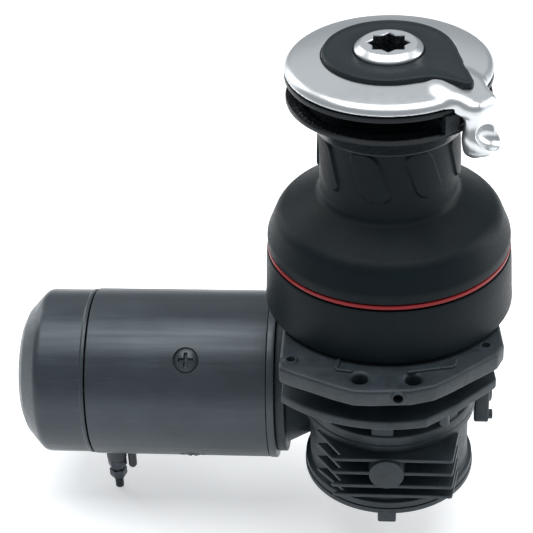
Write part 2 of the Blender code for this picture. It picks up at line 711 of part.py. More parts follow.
def build_idler():
    """The idler is two gears on one shaft, joined one way by two pawls inside the upper gear."""
    bore = IDLER_SHAFT_R + 0.3
    pitch_r = 0.5 * IDLER_TEETH * GEAR_MODULE
    pocket_r = pitch_r - 6.0
    hub_r = pocket_r - 3.2
    teeth = gear_outline(IDLER_TEETH, GEAR_MODULE, phase=0.5)
    upper = plate("idler_gear", [teeth], *HIGH_GEAR_Z, "steel")
    pocket = plate("ratchet_pocket", [ratchet_outline(pocket_r)],
                   HIGH_GEAR_Z[0] - 1.0, HIGH_GEAR_Z[0] + 6.0)
    cut(upper, pocket, disc("idler_bore", bore, 0.0, 60.0, steps=16))
    lower = plate("ratchet_gear", [teeth], *LOW_GEAR_Z, "steel")
    hub_top = HIGH_GEAR_Z[0] + 5.4
    join(lower, disc("ratchet_hub", hub_r, LOW_GEAR_Z[1] - 1.0, hub_top, steps=23))
    cut(lower, disc("ratchet_bore", bore, 0.0, 60.0, steps=16))
    for side, turn in ((1, 0.0), (2, 180.0)):
        pivot = polar(hub_r - 2.6, turn)
        slot = pawl_outline(turn, pivot, hub_r, 0.45)
        cut(lower, plate(f"pawl_slot_{side}", [slot], LOW_GEAR_Z[1] + 0.6, hub_top + 1.0))
        pawl = plate(f"pawl_{side}", [pawl_outline(turn, pivot, hub_r, 0.0)],
                     LOW_GEAR_Z[1] + 0.9, hub_top - 0.3, "steel")
        pawl.data.transform(Matrix.Translation((-pivot[0] * MM, -pivot[1] * MM, 0.0)))
        pawl.location = ((IDLER_X + pivot[0]) * MM, pivot[1] * MM, 0.0)
    for obj in (upper, lower):
        place_with_tools(obj, IDLER_X)


def place_with_tools(obj, x):
    """Moves a part and the tools of its Boolean modifiers together."""
    obj.location.x = x * MM
    for modifier in obj.modifiers:
        modifier.object.location.x += x * MM


def ratchet_outline(radius, teeth=12):
    points = []
    for k in range(teeth):
        points.append(polar(radius, 360.0 * k / teeth))
        points.append(polar(radius - 1.6, 360.0 * (k + 0.9) / teeth))
    return points


def pawl_outline(turn, pivot, hub_r, grow):
    """A short lever inside the hub's edge: a round heel at the pivot and a tapering toe."""
    heel = 1.9 + grow
    toe_reach = 8.6 + grow
    angle = math.radians(turn + 90.0)
    along = (math.cos(angle), math.sin(angle))
    out = (math.cos(math.radians(turn)), math.sin(math.radians(turn)))
    flat = arc((0.0, 0.0), heel, 90.0, 270.0, 6)
    flat += [(toe_reach, -2.2 - grow), (toe_reach, 0.2 + grow)]
    if grow > 0:
        flat = [(-heel, hub_r), (-heel, -heel), (toe_reach + 0.6, -4.6), (toe_reach + 0.6, hub_r)]
    return [
        (pivot[0] + u * along[0] + v * out[0], pivot[1] + u * along[1] + v * out[1])
        for u, v in flat
    ]


# ---------------------------------------------------------------- gearbox flange

FRONT_EDGE = [(-53.0, -81.0), (-43.6, -85.5), (-29.2, -92.6), (-18.0, -97.0), (-8.0, -97.3),
              (15.0, -95.6), (28.0, -91.0), (37.2, -84.0), (51.3, -71.0), (64.0, -59.5)]
REAR_EDGE = [(68.0, -50.0), (66.0, -30.0), (60.0, -12.0), (60.0, 14.0), (67.0, 44.0), (69.0, 60.0),
             (62.0, 68.0), (40.0, 74.0), (18.0, 86.0), (-18.0, 86.0), (-40.0, 78.0), (-60.0, 70.0),
             (FLANGE_LEFT_X, 56.0), (FLANGE_LEFT_X, -76.0)]
EARS = {"front_left": (-54.8, -68.6, 5.6), "front_right": (57.2, -50.8, 0.0),
        "rear_left": (-53.0, 62.0, 5.6), "rear_right": (60.0, 59.0, 5.6)}


def rim_outline():
    """The thin rim under the slab: round at the front left, straight at the front right."""
    left = math.degrees(math.acos(FLANGE_LEFT_X / RIM_R))
    points = arc((0.0, 0.0), RIM_R, -left, -75.0, 9)
    points += [(42.0, -73.5), (64.5, -50.0), (60.0, -12.0), (58.0, 20.0), (56.0, 50.0)]
    points += arc((0.0, 0.0), RIM_R - 12.0, 50.0, 128.0, 8)
    points += [(FLANGE_LEFT_X, 50.0)]
    return points


def build_flange():
    slab_low = FLANGE_TOP_Z - FLANGE_SLAB_H
    flange = plate("mounting_flange", [FRONT_EDGE + REAR_EDGE], slab_low, FLANGE_TOP_Z, "casting")
    neck = disc("flange_neck", NECK_R - 8.0, RIM_Z[1] - 1.0, slab_low + 1.0, steps=28)
    rim = plate("flange_rim", [rim_outline()], *RIM_Z)
    join(flange, neck, rim)
    boss = disc("stud_boss", 4.3, RIM_Z[1] - 1.0, FLANGE_TOP_Z - 16.5, steps=12)
    moved(boss, 0.0, -RIM_R + 4.6)
    rib = block("top_rib", (3.0, -90.5, FLANGE_TOP_Z - 1.0), (8.6, -75.6, FLANGE_TOP_Z + 0.8))
    join(flange, boss, rib)
    for side in (-1.0, 1.0):
        stud = disc("rim_stud", 2.9, RIM_Z[0] - 6.5, RIM_Z[0] + 1.0, steps=12)
        join(flange, moved(stud, 33.9 * side, -76.0))
    for name, (x, y, pad_r) in EARS.items():
        if pad_r > 0:
            pad = disc(f"ear_pad_{name}", pad_r, FLANGE_TOP_Z - 2.0, PAD_TOP_Z, steps=16)
            join(flange, moved(pad, x, y))
        cut(flange, moved(disc(f"ear_hole_{name}", EAR_HOLE_R, slab_low - 1.0, 3.0, steps=10), x, y))
    for index, x in enumerate((-14.6, 15.6)):
        hole = disc(f"big_hole_{index + 1}", BIG_HOLE_R, FLANGE_TOP_Z - 9.0, 3.0, steps=14)
        cut(flange, moved(hole, x, -84.3))
    side_hole = disc("edge_hole", 2.8, -20.0, 12.0, steps=12)
    side_hole.rotation_euler = (math.pi / 2, 0.0, 0.0)
    side_hole.location = Vector((7.3, -98.0, FLANGE_TOP_Z - 4.6)) * MM
    cut(flange, side_hole)
    cut(flange, disc("flange_bore", SPINDLE_R + 3.0, RIM_Z[0] - 5.0, 5.0, steps=20))
    for index in range(4):
        cut(flange, bpy.data.objects[f"base_bolt_space_{index + 1}"])


# ---------------------------------------------------------------- gearbox housing

def fin_outline(front_y):
    corner = math.sqrt(GEARBOX_R ** 2 - 33.0 ** 2)
    return [(-FIN_HALF_W, front_y), (FIN_HALF_W, front_y), (corner + 2.0, -33.0), (30.0, 0.0), (-30.0, 0.0),
            (-corner - 2.0, -33.0)]


def build_housing():
    top_z = RIM_Z[0] - GAP
    body_r = GEARBOX_R - 3.0
    housing = turned("gearbox_housing", [
        (0.0, top_z), (GEARBOX_R - 12.0, top_z), (GEARBOX_R - 12.0, GEARBOX_RING_Z[1]),
        (GEARBOX_R + 1.0, GEARBOX_RING_Z[1]), (GEARBOX_R + 1.0, GEARBOX_RING_Z[0]),
        (body_r, GEARBOX_RING_Z[0]), (body_r, GEARBOX_BOTTOM_Z + 5.0), (GEARBOX_R, GEARBOX_BOTTOM_Z + 5.0),
        (GEARBOX_R, GEARBOX_BOTTOM_Z), (0.0, GEARBOX_BOTTOM_Z),
    ], "casting", 32)
    fins = []
    for index in range(FIN_COUNT):
        z = FIN_TOP_Z - FIN_PITCH * index
        front = FIN_FRONT_Y if index < FIN_COUNT - 1 else FIN_FRONT_Y + 3.0
        fins.append(plate(f"fin_{index + 1}", [fin_outline(front)], z - FIN_THICK, z))
    boss = disc("front_boss", BOSS_R, 40.0, -FIN_FRONT_Y + 2.0, steps=20)
    boss.rotation_euler = (math.pi / 2, 0.0, 0.0)
    boss.location = (0.0, 0.0, WORM_Z * MM)
    tunnel = rod("worm_tunnel", TUNNEL_R, -60.0, WORM_COVER_X[0] - GAP, steps=20)
    join(housing, *fins, boss, tunnel)
    for index, (azimuth, half) in enumerate(((-93.0, 7.2), (-40.0, 4.0), (-141.0, 4.0), (40.0, 5.0),
                                             (90.0, 7.0), (141.0, 5.0))):
        wall = arc((0.0, 0.0), GEARBOX_R, azimuth - half, azimuth + half, 2)
        wall += arc((0.0, 0.0), GEARBOX_R - 13.0, azimuth + half, azimuth - half, 2)
        join(housing, plate(f"pillar_{index + 1}", [wall], GEARBOX_RING_Z[1] - 2.0, top_z - 0.2))
    seat_r = OUTPUT_BEARING_R + GAP
    seat_z = top_z - OUTPUT_BEARING_H - 2.0
    roof_z = WORM_Z + 0.5 * WHEEL_H + 2.0
    inside = turned("wheel_space", [
        (0.0, top_z + 5.0), (seat_r, top_z + 5.0), (seat_r, seat_z), (SPINDLE_R + 3.0, seat_z),
        (SPINDLE_R + 3.0, roof_z), (CAVITY_R, roof_z), (CAVITY_R, GEARBOX_BOTTOM_Z - 5.0),
        (0.0, GEARBOX_BOTTOM_Z - 5.0)], None, 30)
    worm_bore = rod("worm_space", WORM_BEARING_R + GAP, -70.0, 60.0, steps=16)
    cut(housing, inside, worm_bore)


def build_gearbox_covers():
    low = GEARBOX_BOTTOM_Z - GAP - COVER_H
    high = GEARBOX_BOTTOM_Z - GAP
    cover = disc("bottom_cover", GEARBOX_R + 0.5, low, high, "casting", steps=32)
    tab = block("cover_tab", (-5.7, -GEARBOX_R - 0.3, low - 7.0), (5.7, -GEARBOX_R + 6.0, high - 1.0))
    hub = disc("cover_hub", 16.0, high - 1.0, high + 6.0, steps=16)
    socket = disc("cover_socket", 13.2, high + 1.0, high + 10.0, steps=16)
    join(cover, tab, hub)
    cut(cover, socket)
    y0 = WORM_Y - WORM_COVER_HALF
    y1 = WORM_Y + WORM_COVER_HALF
    end = block("worm_end_cover", (WORM_COVER_X[0], y0, WORM_Z - WORM_COVER_HALF),
                (WORM_COVER_X[1], y1, WORM_Z + WORM_COVER_HALF), "casting")
    bevel(end, 2.5)
    seat = OUTPUT_BEARING_R
    top_z = RIM_Z[0] - 2 * GAP
    disc("output_bearing_upper", seat, top_z - OUTPUT_BEARING_H, top_z, "steel", SPINDLE_R + 0.3, 16)
    disc("output_bearing_lower", 13.0, high + 1.3, high + 1.3 + 7.0, "steel", SPINDLE_R - 1.7, 16)
    left = SHIELD_X + GAP
    tunnel_end = left + 11.0
    right = -28.0
    adapter = along_x(turned("motor_adapter", [
        (TUNNEL_R + 6.0, right), (MOTOR_R - 10.0, left + 6.0), (MOTOR_R - 4.0, left + 6.0),
        (MOTOR_R - 4.0, left), (SHAFT_R + 2.0, left), (SHAFT_R + 2.0, tunnel_end),
        (TUNNEL_R + GAP, tunnel_end), (TUNNEL_R + GAP, right),
    ], "casting", 32))
    cut(adapter, disc("adapter_gearbox_space", GEARBOX_R + 1.0 + GAP, -200.0, 50.0, steps=35))


# ---------------------------------------------------------------- worm and wheel

def worm_surface_radius(x, turn, axial_pitch):
    """Radius of the worm at a place along it and a turn about it, as a share of a full turn."""
    root = WORM_PITCH_R - 2.2
    crest = WORM_PITCH_R + 1.7
    phase = (x / axial_pitch - WORM_STARTS * turn) % 1.0
    away = min(phase, 1.0 - phase)
    share = min(1.0, max(0.0, (0.30 - away) / 0.17))
    return root + (crest - root) * share


def build_worm():
    """A two-start worm with plain ends that reach to the bearings and into the motor."""
    axial_pitch = math.tau * WHEEL_PITCH_R / WHEEL_TEETH
    around = 12
    half = 0.5 * WORM_LENGTH
    rows = int(round(WORM_LENGTH / (axial_pitch / 4.0)))
    rings = []
    for x in (MOTOR_SEAM_X - END_CAP_LENGTH + END_CAP_WALL + 2.5, -half - 0.1):
        rings.append([(x, SHAFT_R, math.tau * j / around) for j in range(around)])
    for i in range(rows + 1):
        x = -half + WORM_LENGTH * i / rows
        rings.append([(x, worm_surface_radius(x, j / around, axial_pitch), math.tau * j / around)
                      for j in range(around)])
    for x in (half + 0.1, WORM_COVER_X[0] - 2.0):
        rings.append([(x, SHAFT_R, math.tau * j / around) for j in range(around)])
    solid = [
        [(x, WORM_Y + r * math.cos(a), WORM_Z + r * math.sin(a)) for x, r, a in ring]
        for ring in rings
    ]
    worm = loft("worm_shaft", solid, "steel")
    worm.data.transform(Matrix.Translation((0.0, -WORM_Y * MM, -WORM_Z * MM)))
    worm.location = (0.0, WORM_Y * MM, WORM_Z * MM)


def build_wheel():
    """The worm wheel: teeth set on the worm's lead angle, half a pitch round from +Y."""
    lead = WORM_STARTS * math.tau * WHEEL_PITCH_R / WHEEL_TEETH
    slope = lead / (math.tau * WORM_PITCH_R)
    tip = WHEEL_PITCH_R + 1.6
    root = WHEEL_PITCH_R - 2.1
    layers = 2
    rings = []
    for layer in range(layers + 1):
        z = WHEEL_H * (layer / layers - 0.5)
        twist = slope * z / WHEEL_PITCH_R
        ring = []
        for k in range(WHEEL_TEETH):
            for radius, share in ((root, -0.27), (tip, -0.10), (tip, 0.10), (root, 0.27)):
                angle = math.tau * (k + 0.5 + share) / WHEEL_TEETH + twist
                ring.append((radius * math.cos(angle), radius * math.sin(angle), WORM_Z + z))
        rings.append(ring)
    wheel = loft("worm_wheel", rings, "bronze")
    bore = disc("wheel_bore", SPINDLE_R - 2.0 + GAP, WORM_Z - WHEEL_H, WORM_Z + WHEEL_H, steps=16)
    cut(wheel, bore)


# ---------------------------------------------------------------- motor

CORE_R = MOTOR_R - MOTOR_WALL - POLE_DEPTH


def build_motor():
    shield_left = SHIELD_X - SHIELD_W
    shield = rod("drive_end_shield", MOTOR_R + 0.3, shield_left, SHIELD_X, "motor_paint", SHAFT_R + 1.0, 32)
    seat = rod("shield_seat", 14.0 + GAP, shield_left - 3.0, SHIELD_X - 1.6, steps=16)
    cut(shield, seat)
    rod("motor_front_bearing", 14.0, shield_left + 0.2, SHIELD_X - 2.0, "steel", SHAFT_R + 0.3, 16)
    tube_right = shield_left - GAP
    tube_left = MOTOR_SEAM_X + 0.6
    tube = rod("motor_tube", MOTOR_R, tube_left, tube_right, "motor_paint", MOTOR_R - MOTOR_WALL, 36)
    build_end_cap()
    inner = MOTOR_R - MOTOR_WALL - GAP
    shoe_x = (POLE_SCREW_X - 34.0, POLE_SCREW_X + 34.0)
    for index in range(4):
        azimuth = 45.0 + 90.0 * index
        shoe = arc((0.0, 0.0), inner, azimuth - 33.0, azimuth + 33.0, 6)
        shoe += arc((0.0, 0.0), CORE_R + POLE_AIR_GAP, azimuth + 33.0, azimuth - 33.0, 6)
        pole = along_x(plate(f"pole_shoe_{index + 1}", [shoe], *shoe_x, "steel"))
        hole = screw_piece(f"pole_screw_space_{index + 1}", azimuth, None)
        cut(tube, hole)
        cut(pole, hole)
        screw_piece(f"pole_screw_{index + 1}", azimuth, "motor_paint")
    rod("armature_core", CORE_R, shoe_x[0], shoe_x[1], "steel", SHAFT_R + GAP, 24)
    commutator_x = (shoe_x[0] - 22.0, shoe_x[0] - 3.0)
    rod("commutator", 16.0, *commutator_x, "copper", SHAFT_R + GAP, 16)
    brush_x = (commutator_x[0] + 4.0, commutator_x[1] - 4.0)
    holder = rod("brush_holder", inner - 6.0, brush_x[0] - 2.0, brush_x[1] + 2.0, "insulator", 30.0, 24)
    for index, side in enumerate((1.0, -1.0)):
        near = sorted((WORM_Y + side * 17.0, WORM_Y + side * 34.0))
        middle = (brush_x[0] + 1.5, brush_x[1] - 1.5)
        block(f"brush_{index + 1}", (middle[0], near[0], WORM_Z - 5.0), (middle[1], near[1], WORM_Z + 5.0),
              "carbon")
        cut(holder, block(f"brush_space_{index + 1}",
                          (middle[0] - GAP, near[0] - GAP, WORM_Z - 5.0 - GAP),
                          (middle[1] + GAP, near[1] + GAP, WORM_Z + 5.0 + GAP)))
    rod("worm_bearing_left", WORM_BEARING_R, -48.0, -48.0 + WORM_BEARING_W, "steel", SHAFT_R + 0.3, 16)
    right = WORM_COVER_X[0] - 4.0
    rod("worm_bearing_right", WORM_BEARING_R, right - WORM_BEARING_W, right, "steel", SHAFT_R + 0.3, 16)


def screw_piece(name, azimuth, finish):
    """A pole screw, head outside the motor tube, or the space that it needs."""
    extra = GAP if finish is None else 0.0
    head_r = POLE_SCREW_R + extra
    shank_r = 3.0 + extra
    under = MOTOR_R - 2.4 - extra
    dome = [(0.0, MOTOR_R + 0.7), (head_r * 0.6, MOTOR_R + 0.2), (head_r, MOTOR_R - 1.2)]
    if finish is None:
        dome = [(0.0, MOTOR_R + 4.0), (head_r, MOTOR_R + 4.0)]
    profile = dome + [(head_r, under), (shank_r, under), (shank_r, MOTOR_R - 12.0 - extra),
                      (0.0, MOTOR_R - 12.0 - extra)]
    screw = turned(name, profile, finish, 14)
    angle = math.radians(azimuth)
    screw.rotation_euler = (math.pi + angle, 0.0, 0.0)
    screw.location = Vector((POLE_SCREW_X, WORM_Y, WORM_Z)) * MM
    return screw


def build_end_cap():
    right = MOTOR_SEAM_X - 0.5
    left = MOTOR_SEAM_X - END_CAP_LENGTH
    outer = MOTOR_R - 0.9
    inner = outer - END_CAP_WALL
    cone_out = [(outer - inset, left + rise) for inset, rise in END_CAP_CONE]
    cone_in = [(inner - inset, left + rise + END_CAP_WALL) for inset, rise in reversed(END_CAP_CONE)]
    boss_r = 16.0
    floor = left + END_CAP_WALL
    seat_r = 11.0 + GAP
    profile = (
        [(0.0, floor + 1.0), (seat_r, floor + 1.0), (seat_r, floor + 12.0), (boss_r, floor + 12.0)]
        + [(boss_r, floor)] + cone_in + [(inner, right), (outer, right)] + cone_out + [(0.0, left)]
    )
    along_x(turned("motor_end_cap", profile, "motor_paint", 32))
    rod("motor_rear_bearing", 11.0, floor + 2.0, floor + 10.0, "steel", SHAFT_R + 0.3, 16)


def build_terminals():
    """The power stud on its insulator, with a hex nut, and the short second terminal."""
    drop = math.sqrt(MOTOR_R ** 2 - (STUD_Y - WORM_Y) ** 2)
    root = WORM_Z - drop
    wall = MOTOR_WALL + 6.0
    stem = moved(disc("terminal_space", 5.0 + GAP, root - 2.0, root + wall, steps=12), STUD_X, STUD_Y)
    tube = bpy.data.objects["motor_tube"]
    cut(tube, stem)
    base_z = root - 1.5
    foot_z = base_z - INSULATOR_DROP
    insulator = turned("terminal_insulator", [
        (5.0, root + MOTOR_WALL + 1.0), (5.0, base_z), (6.8, base_z), (6.6, foot_z),
        (3.3 + GAP, foot_z), (3.3 + GAP, root + MOTOR_WALL + 1.0)], "insulator", 14)
    moved(insulator, STUD_X, STUD_Y)
    nut_top = foot_z - GAP
    stud_top = root + MOTOR_WALL + 5.0
    moved(disc("terminal_stud", 2.9, nut_top - 25.0, stud_top, "copper", steps=12), STUD_X, STUD_Y)
    nut = plate("terminal_nut", [hexagon(6.4)], nut_top - 6.1, nut_top, "steel")
    join(nut, disc("nut_washer", 4.8, nut_top - 9.5, nut_top - 5.0, steps=12),
         plate("lock_nut", [hexagon(5.9)], nut_top - 14.8, nut_top - 8.5))
    cut(nut, disc("nut_bore", 2.9 + GAP, nut_top - 20.0, nut_top + 5.0, steps=12))
    place_with_tools_xy(nut, STUD_X, STUD_Y)
    second = (STUD_X + STUB_OFFSET, STUD_Y)
    cut(tube, moved(disc("second_space", 2.4 + GAP, root - 2.0, root + wall, steps=12), *second))
    stub = turned("terminal_stub", [
        (0.0, root + MOTOR_WALL + 2.0), (2.4, root + MOTOR_WALL + 2.0), (2.4, root - 1.5),
        (2.9, root - 1.5), (2.8, root - 17.0), (1.8, root - 18.5), (0.0, root - 18.5)], "insulator", 12)
    moved(stub, *second)


def place_with_tools_xy(obj, x, y):
    obj.location = (x * MM, y * MM, 0.0)
    for modifier in obj.modifiers:
        modifier.object.location = (x * MM, y * MM, 0.0)


build_drum()
build_jaws()
build_cap()
build_stripper()
build_socket()
build_spindle()
build_stand()
build_idler()
build_flange()
build_housing()
build_gearbox_covers()
build_worm()
build_wheel()
build_motor()
build_terminals()
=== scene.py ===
"""Looks of the electric self-tailing winch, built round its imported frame.

Lengths in this file are millimetres in the row frame and become metres where a mesh is made.
The winch axis is Z, the motor lies along -X and the finned front of the gearbox faces -Y.
"""

import json
import math

import bmesh
import bpy
import numpy as np
from mathutils import Matrix, Vector


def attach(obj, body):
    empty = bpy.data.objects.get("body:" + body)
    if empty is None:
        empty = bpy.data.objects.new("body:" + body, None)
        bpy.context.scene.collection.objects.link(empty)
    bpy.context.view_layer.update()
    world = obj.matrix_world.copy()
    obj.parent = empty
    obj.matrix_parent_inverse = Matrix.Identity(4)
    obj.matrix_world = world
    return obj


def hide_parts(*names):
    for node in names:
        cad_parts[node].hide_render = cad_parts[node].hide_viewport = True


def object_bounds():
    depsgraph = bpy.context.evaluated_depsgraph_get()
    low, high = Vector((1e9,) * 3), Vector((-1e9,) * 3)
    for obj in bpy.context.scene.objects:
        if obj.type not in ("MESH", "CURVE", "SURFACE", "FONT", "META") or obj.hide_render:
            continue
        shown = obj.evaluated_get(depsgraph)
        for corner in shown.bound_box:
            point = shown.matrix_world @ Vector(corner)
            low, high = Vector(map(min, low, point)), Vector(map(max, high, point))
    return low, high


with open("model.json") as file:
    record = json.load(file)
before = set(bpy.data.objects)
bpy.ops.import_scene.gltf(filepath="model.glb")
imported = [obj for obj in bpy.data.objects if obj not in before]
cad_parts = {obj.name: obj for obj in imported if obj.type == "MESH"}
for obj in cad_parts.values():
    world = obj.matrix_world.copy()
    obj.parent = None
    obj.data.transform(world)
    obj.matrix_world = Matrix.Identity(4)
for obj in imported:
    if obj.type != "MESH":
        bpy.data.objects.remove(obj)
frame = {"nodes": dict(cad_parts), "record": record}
cad_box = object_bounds()

MM = 0.001
TAU = math.tau
MOTOR_Y = 38.0
MOTOR_Z = -92.1
MOTOR_R = 54.4
SHARP = 32.0                 # degrees between faces from which an edge is drawn sharp


# ---------------------------------------------------------------- materials

def link(tree, source, target):
    tree.links.new(source, target)


def noise(tree, vector, scale, detail=4.0, rough=0.55):
    node = tree.nodes.new("ShaderNodeTexNoise")
    node.inputs["Scale"].default_value = scale
    node.inputs["Detail"].default_value = detail
    node.inputs["Roughness"].default_value = rough
    link(tree, vector, node.inputs["Vector"])
    return node.outputs["Fac"]


def ranged(tree, value, low, high, to_low, to_high):
    node = tree.nodes.new("ShaderNodeMapRange")
    node.inputs["From Min"].default_value = low
    node.inputs["From Max"].default_value = high
    node.inputs["To Min"].default_value = to_low
    node.inputs["To Max"].default_value = to_high
    link(tree, value, node.inputs["Value"])
    return node.outputs["Result"]


def mixed(tree, factor, first, second):
    node = tree.nodes.new("ShaderNodeMix")
    node.data_type = "RGBA"
    link(tree, factor, node.inputs["Factor"])
    for socket, value in ((node.inputs["A"], first), (node.inputs["B"], second)):
        if isinstance(value, tuple):
            socket.default_value = (*value, 1.0)
        else:
            link(tree, value, socket)
    return node.outputs["Result"]


def scaled(color, factor):
    return tuple(min(1.0, c * factor) for c in color)


def finish(name, color, rough, metal, *, mottle=0.12, mottle_scale=45.0, rough_spread=0.08,
           grain=1500.0, bump=0.1, depth=0.05, stretch=(1.0, 1.0, 1.0), wear=0.0, speck=0.0, specular=0.5):
    """A Principled material with mottled colour, uneven roughness, fine grain and worn edges."""
    material = bpy.data.materials.new(name)
    material.use_nodes = True
    tree = material.node_tree
    shader = tree.nodes["Principled BSDF"]
    coords = tree.nodes.new("ShaderNodeTexCoord")
    mapping = tree.nodes.new("ShaderNodeMapping")
    mapping.inputs["Scale"].default_value = stretch
    link(tree, coords.outputs["Object"], mapping.inputs["Vector"])
    place = mapping.outputs["Vector"]
    broad = noise(tree, coords.outputs["Object"], mottle_scale, 3.0)
    fine = noise(tree, place, grain, 3.0, 0.6)
    tone = mixed(tree, ranged(tree, broad, 0.3, 0.7, 0.0, 1.0),
                 scaled(color, 1.0 - mottle), scaled(color, 1.0 + mottle))
    if speck > 0:
        light = ranged(tree, fine, 0.56, 0.72, 0.0, speck)
        tone = mixed(tree, light, tone, scaled(color, 3.2))
    if wear > 0:
        geometry = tree.nodes.new("ShaderNodeNewGeometry")
        edge = ranged(tree, geometry.outputs["Pointiness"], 0.53, 0.62, 0.0, wear)
        tone = mixed(tree, edge, tone, scaled(color, 2.5))
    link(tree, tone, shader.inputs["Base Color"])
    shader.inputs["Metallic"].default_value = metal
    shader.inputs["Specular IOR Level"].default_value = specular
    link(tree, ranged(tree, noise(tree, place, grain * 0.25, 4.0), 0.3, 0.7,
                      max(0.02, rough - rough_spread), rough + rough_spread), shader.inputs["Roughness"])
    if bump > 0:
        node = tree.nodes.new("ShaderNodeBump")
        node.inputs["Strength"].default_value = bump
        node.inputs["Distance"].default_value = depth * MM
        link(tree, fine, node.inputs["Height"])
        link(tree, node.outputs["Normal"], shader.inputs["Normal"])
    return material


FINISHES = {
    "drum_black": finish("hard_anodised_black", (0.0045, 0.0085, 0.0105), 0.44, 0.0, grain=2600.0, bump=0.35,
                         depth=0.06, speck=0.35, wear=0.25, specular=0.1),
    "jaw_black": finish("moulded_black", (0.0065, 0.010, 0.012), 0.32, 0.0, grain=1800.0, bump=0.12,
                        depth=0.04, wear=0.2, specular=0.22),
    "insert_black": finish("slate_rubber", (0.009, 0.015, 0.019), 0.46, 0.0, mottle=0.06, grain=2200.0,
                           bump=0.08, depth=0.03, specular=0.2),
    "trim_red": finish("trim_red", (0.22, 0.008, 0.010), 0.34, 0.0, mottle=0.05, rough_spread=0.05,
                       bump=0.04, depth=0.02, specular=0.25),
    "polished": finish("polished_metal", (0.63, 0.65, 0.665), 0.30, 1.0, mottle=0.02, mottle_scale=30.0,
                       rough_spread=0.02, grain=900.0, bump=0.01, depth=0.01),
    "casting": finish("painted_casting", (0.020, 0.028, 0.034), 0.48, 0.15, mottle=0.25, mottle_scale=70.0,
                      grain=1100.0, bump=0.8, depth=0.16, speck=0.35, wear=0.4, specular=0.35),
    "motor_paint": finish("satin_motor_paint", (0.040, 0.051, 0.060), 0.36, 0.45, mottle=0.10,
                          grain=1300.0, bump=0.10, depth=0.04, stretch=(0.05, 1.0, 1.0), speck=0.12),
    "steel": finish("machined_steel", (0.45, 0.46, 0.47), 0.32, 1.0, mottle=0.08, grain=1500.0,
                    bump=0.08, depth=0.03, stretch=(1.0, 1.0, 0.2)),
    "bronze": finish("machined_bronze", (0.45, 0.27, 0.10), 0.35, 1.0, mottle=0.12, bump=0.08, depth=0.03),
    "copper": finish("copper", (0.50, 0.22, 0.12), 0.38, 1.0, mottle=0.15, bump=0.08, depth=0.03),
    "carbon": finish("carbon", (0.02, 0.02, 0.02), 0.7, 0.0, mottle=0.2, bump=0.2, depth=0.05),
    "insulator": finish("moulded_insulator", (0.028, 0.032, 0.036), 0.5, 0.0, mottle=0.15, bump=0.2,
                        depth=0.05),
    "bore_black": finish("blackened_bore", (0.30, 0.32, 0.34), 0.25, 1.0, mottle=0.1, bump=0.05,
                         depth=0.02),
    "dark_steel": finish("blackened_steel", (0.030, 0.037, 0.043), 0.38, 0.6, mottle=0.15, bump=0.15,
                         depth=0.04, wear=0.4),
}


# ---------------------------------------------------------------- shells: arrays of points and faces

def fillet(points, closed=False, steps=4):
    """Rounds the corners of an outline whose points are (a, b) or (a, b, radius)."""
    out = []
    count = len(points)
    for i, point in enumerate(points):
        radius = point[2] if len(point) > 2 else 0.0
        if radius <= 0 or (not closed and i in (0, count - 1)):
            out.append((point[0], point[1]))
            continue
        corner = Vector(point[:2])
        back = Vector(points[i - 1][:2]) - corner
        on = Vector(points[(i + 1) % count][:2]) - corner
        reach = min(radius / math.tan(0.5 * back.angle(on)), 0.49 * back.length, 0.49 * on.length)
        first = corner + back.normalized() * reach
        last = corner + on.normalized() * reach
        for k in range(steps + 1):
            t = k / steps
            place = first * (1 - t) ** 2 + corner * 2 * t * (1 - t) + last * t * t
            out.append((place.x, place.y))
    return out


def lathe(profile, steps=96):
    """Rings about Z from (radius, height) rows; either may be an array round the ring."""
    angles = np.arange(steps) * TAU / steps
    cos, sin = np.cos(angles), np.sin(angles)
    points, rows, start = [], [], 0
    for radius, height in profile:
        if np.ndim(radius) == 0 and radius < 1e-6:
            points.append(np.array([[0.0, 0.0, float(np.mean(height))]]))
            rows.append(np.full(steps, start))
            start += 1
        else:
            z = np.broadcast_to(height, (steps,))
            points.append(np.stack([radius * cos, radius * sin, z], axis=1))
            rows.append(np.arange(start, start + steps))
            start += steps
    closed = len(points[0]) > 1 and len(points[-1]) > 1
    faces = []
    for a, b in zip(rows, rows[1:] + rows[:1] if closed else rows[1:]):
        for i in range(steps):
            j = (i + 1) % steps
            face = list(dict.fromkeys((int(a[i]), int(a[j]), int(b[j]), int(b[i]))))
            if len(face) > 2:
                faces.append(face)
    return np.concatenate(points), faces


def slab(loops, z0, z1, edge=0.6, rounds=2):
    """Flat outlines (the first outside, the rest holes) made solid with rounded edges."""
    curve = bpy.data.curves.new("outline", "CURVE")
    curve.dimensions = "2D"
    curve.fill_mode = "BOTH"
    curve.extrude = (0.5 * (z1 - z0) - edge) * MM
    curve.bevel_depth = edge * MM
    curve.bevel_resolution = rounds
    curve.offset = -edge * MM
    for loop in loops:
        spline = curve.splines.new("POLY")
        spline.points.add(len(loop) - 1)
        for point, (x, y) in zip(spline.points, loop):
            point.co = (x * MM, y * MM, 0.0, 1.0)
        spline.use_cyclic_u = True
    flat = bpy.data.objects.new("outline", curve)
    bpy.context.scene.collection.objects.link(flat)
    graph = bpy.context.evaluated_depsgraph_get()
    mesh = bpy.data.meshes.new_from_object(flat.evaluated_get(graph))
    points = np.zeros(len(mesh.vertices) * 3)
    mesh.vertices.foreach_get("co", points)
    points = points.reshape(-1, 3) / MM + (0.0, 0.0, 0.5 * (z0 + z1))
    faces = [list(p.vertices) for p in mesh.polygons]
    bpy.data.objects.remove(flat, do_unlink=True)
    bpy.data.meshes.remove(mesh)
    return points, faces


def placed(shell, x=0.0, y=0.0, z=0.0, turn=None):
    points, faces = shell
    if turn is not None:
        points = points @ np.array(turn.to_3x3()).T
    return points + (x, y, z), faces


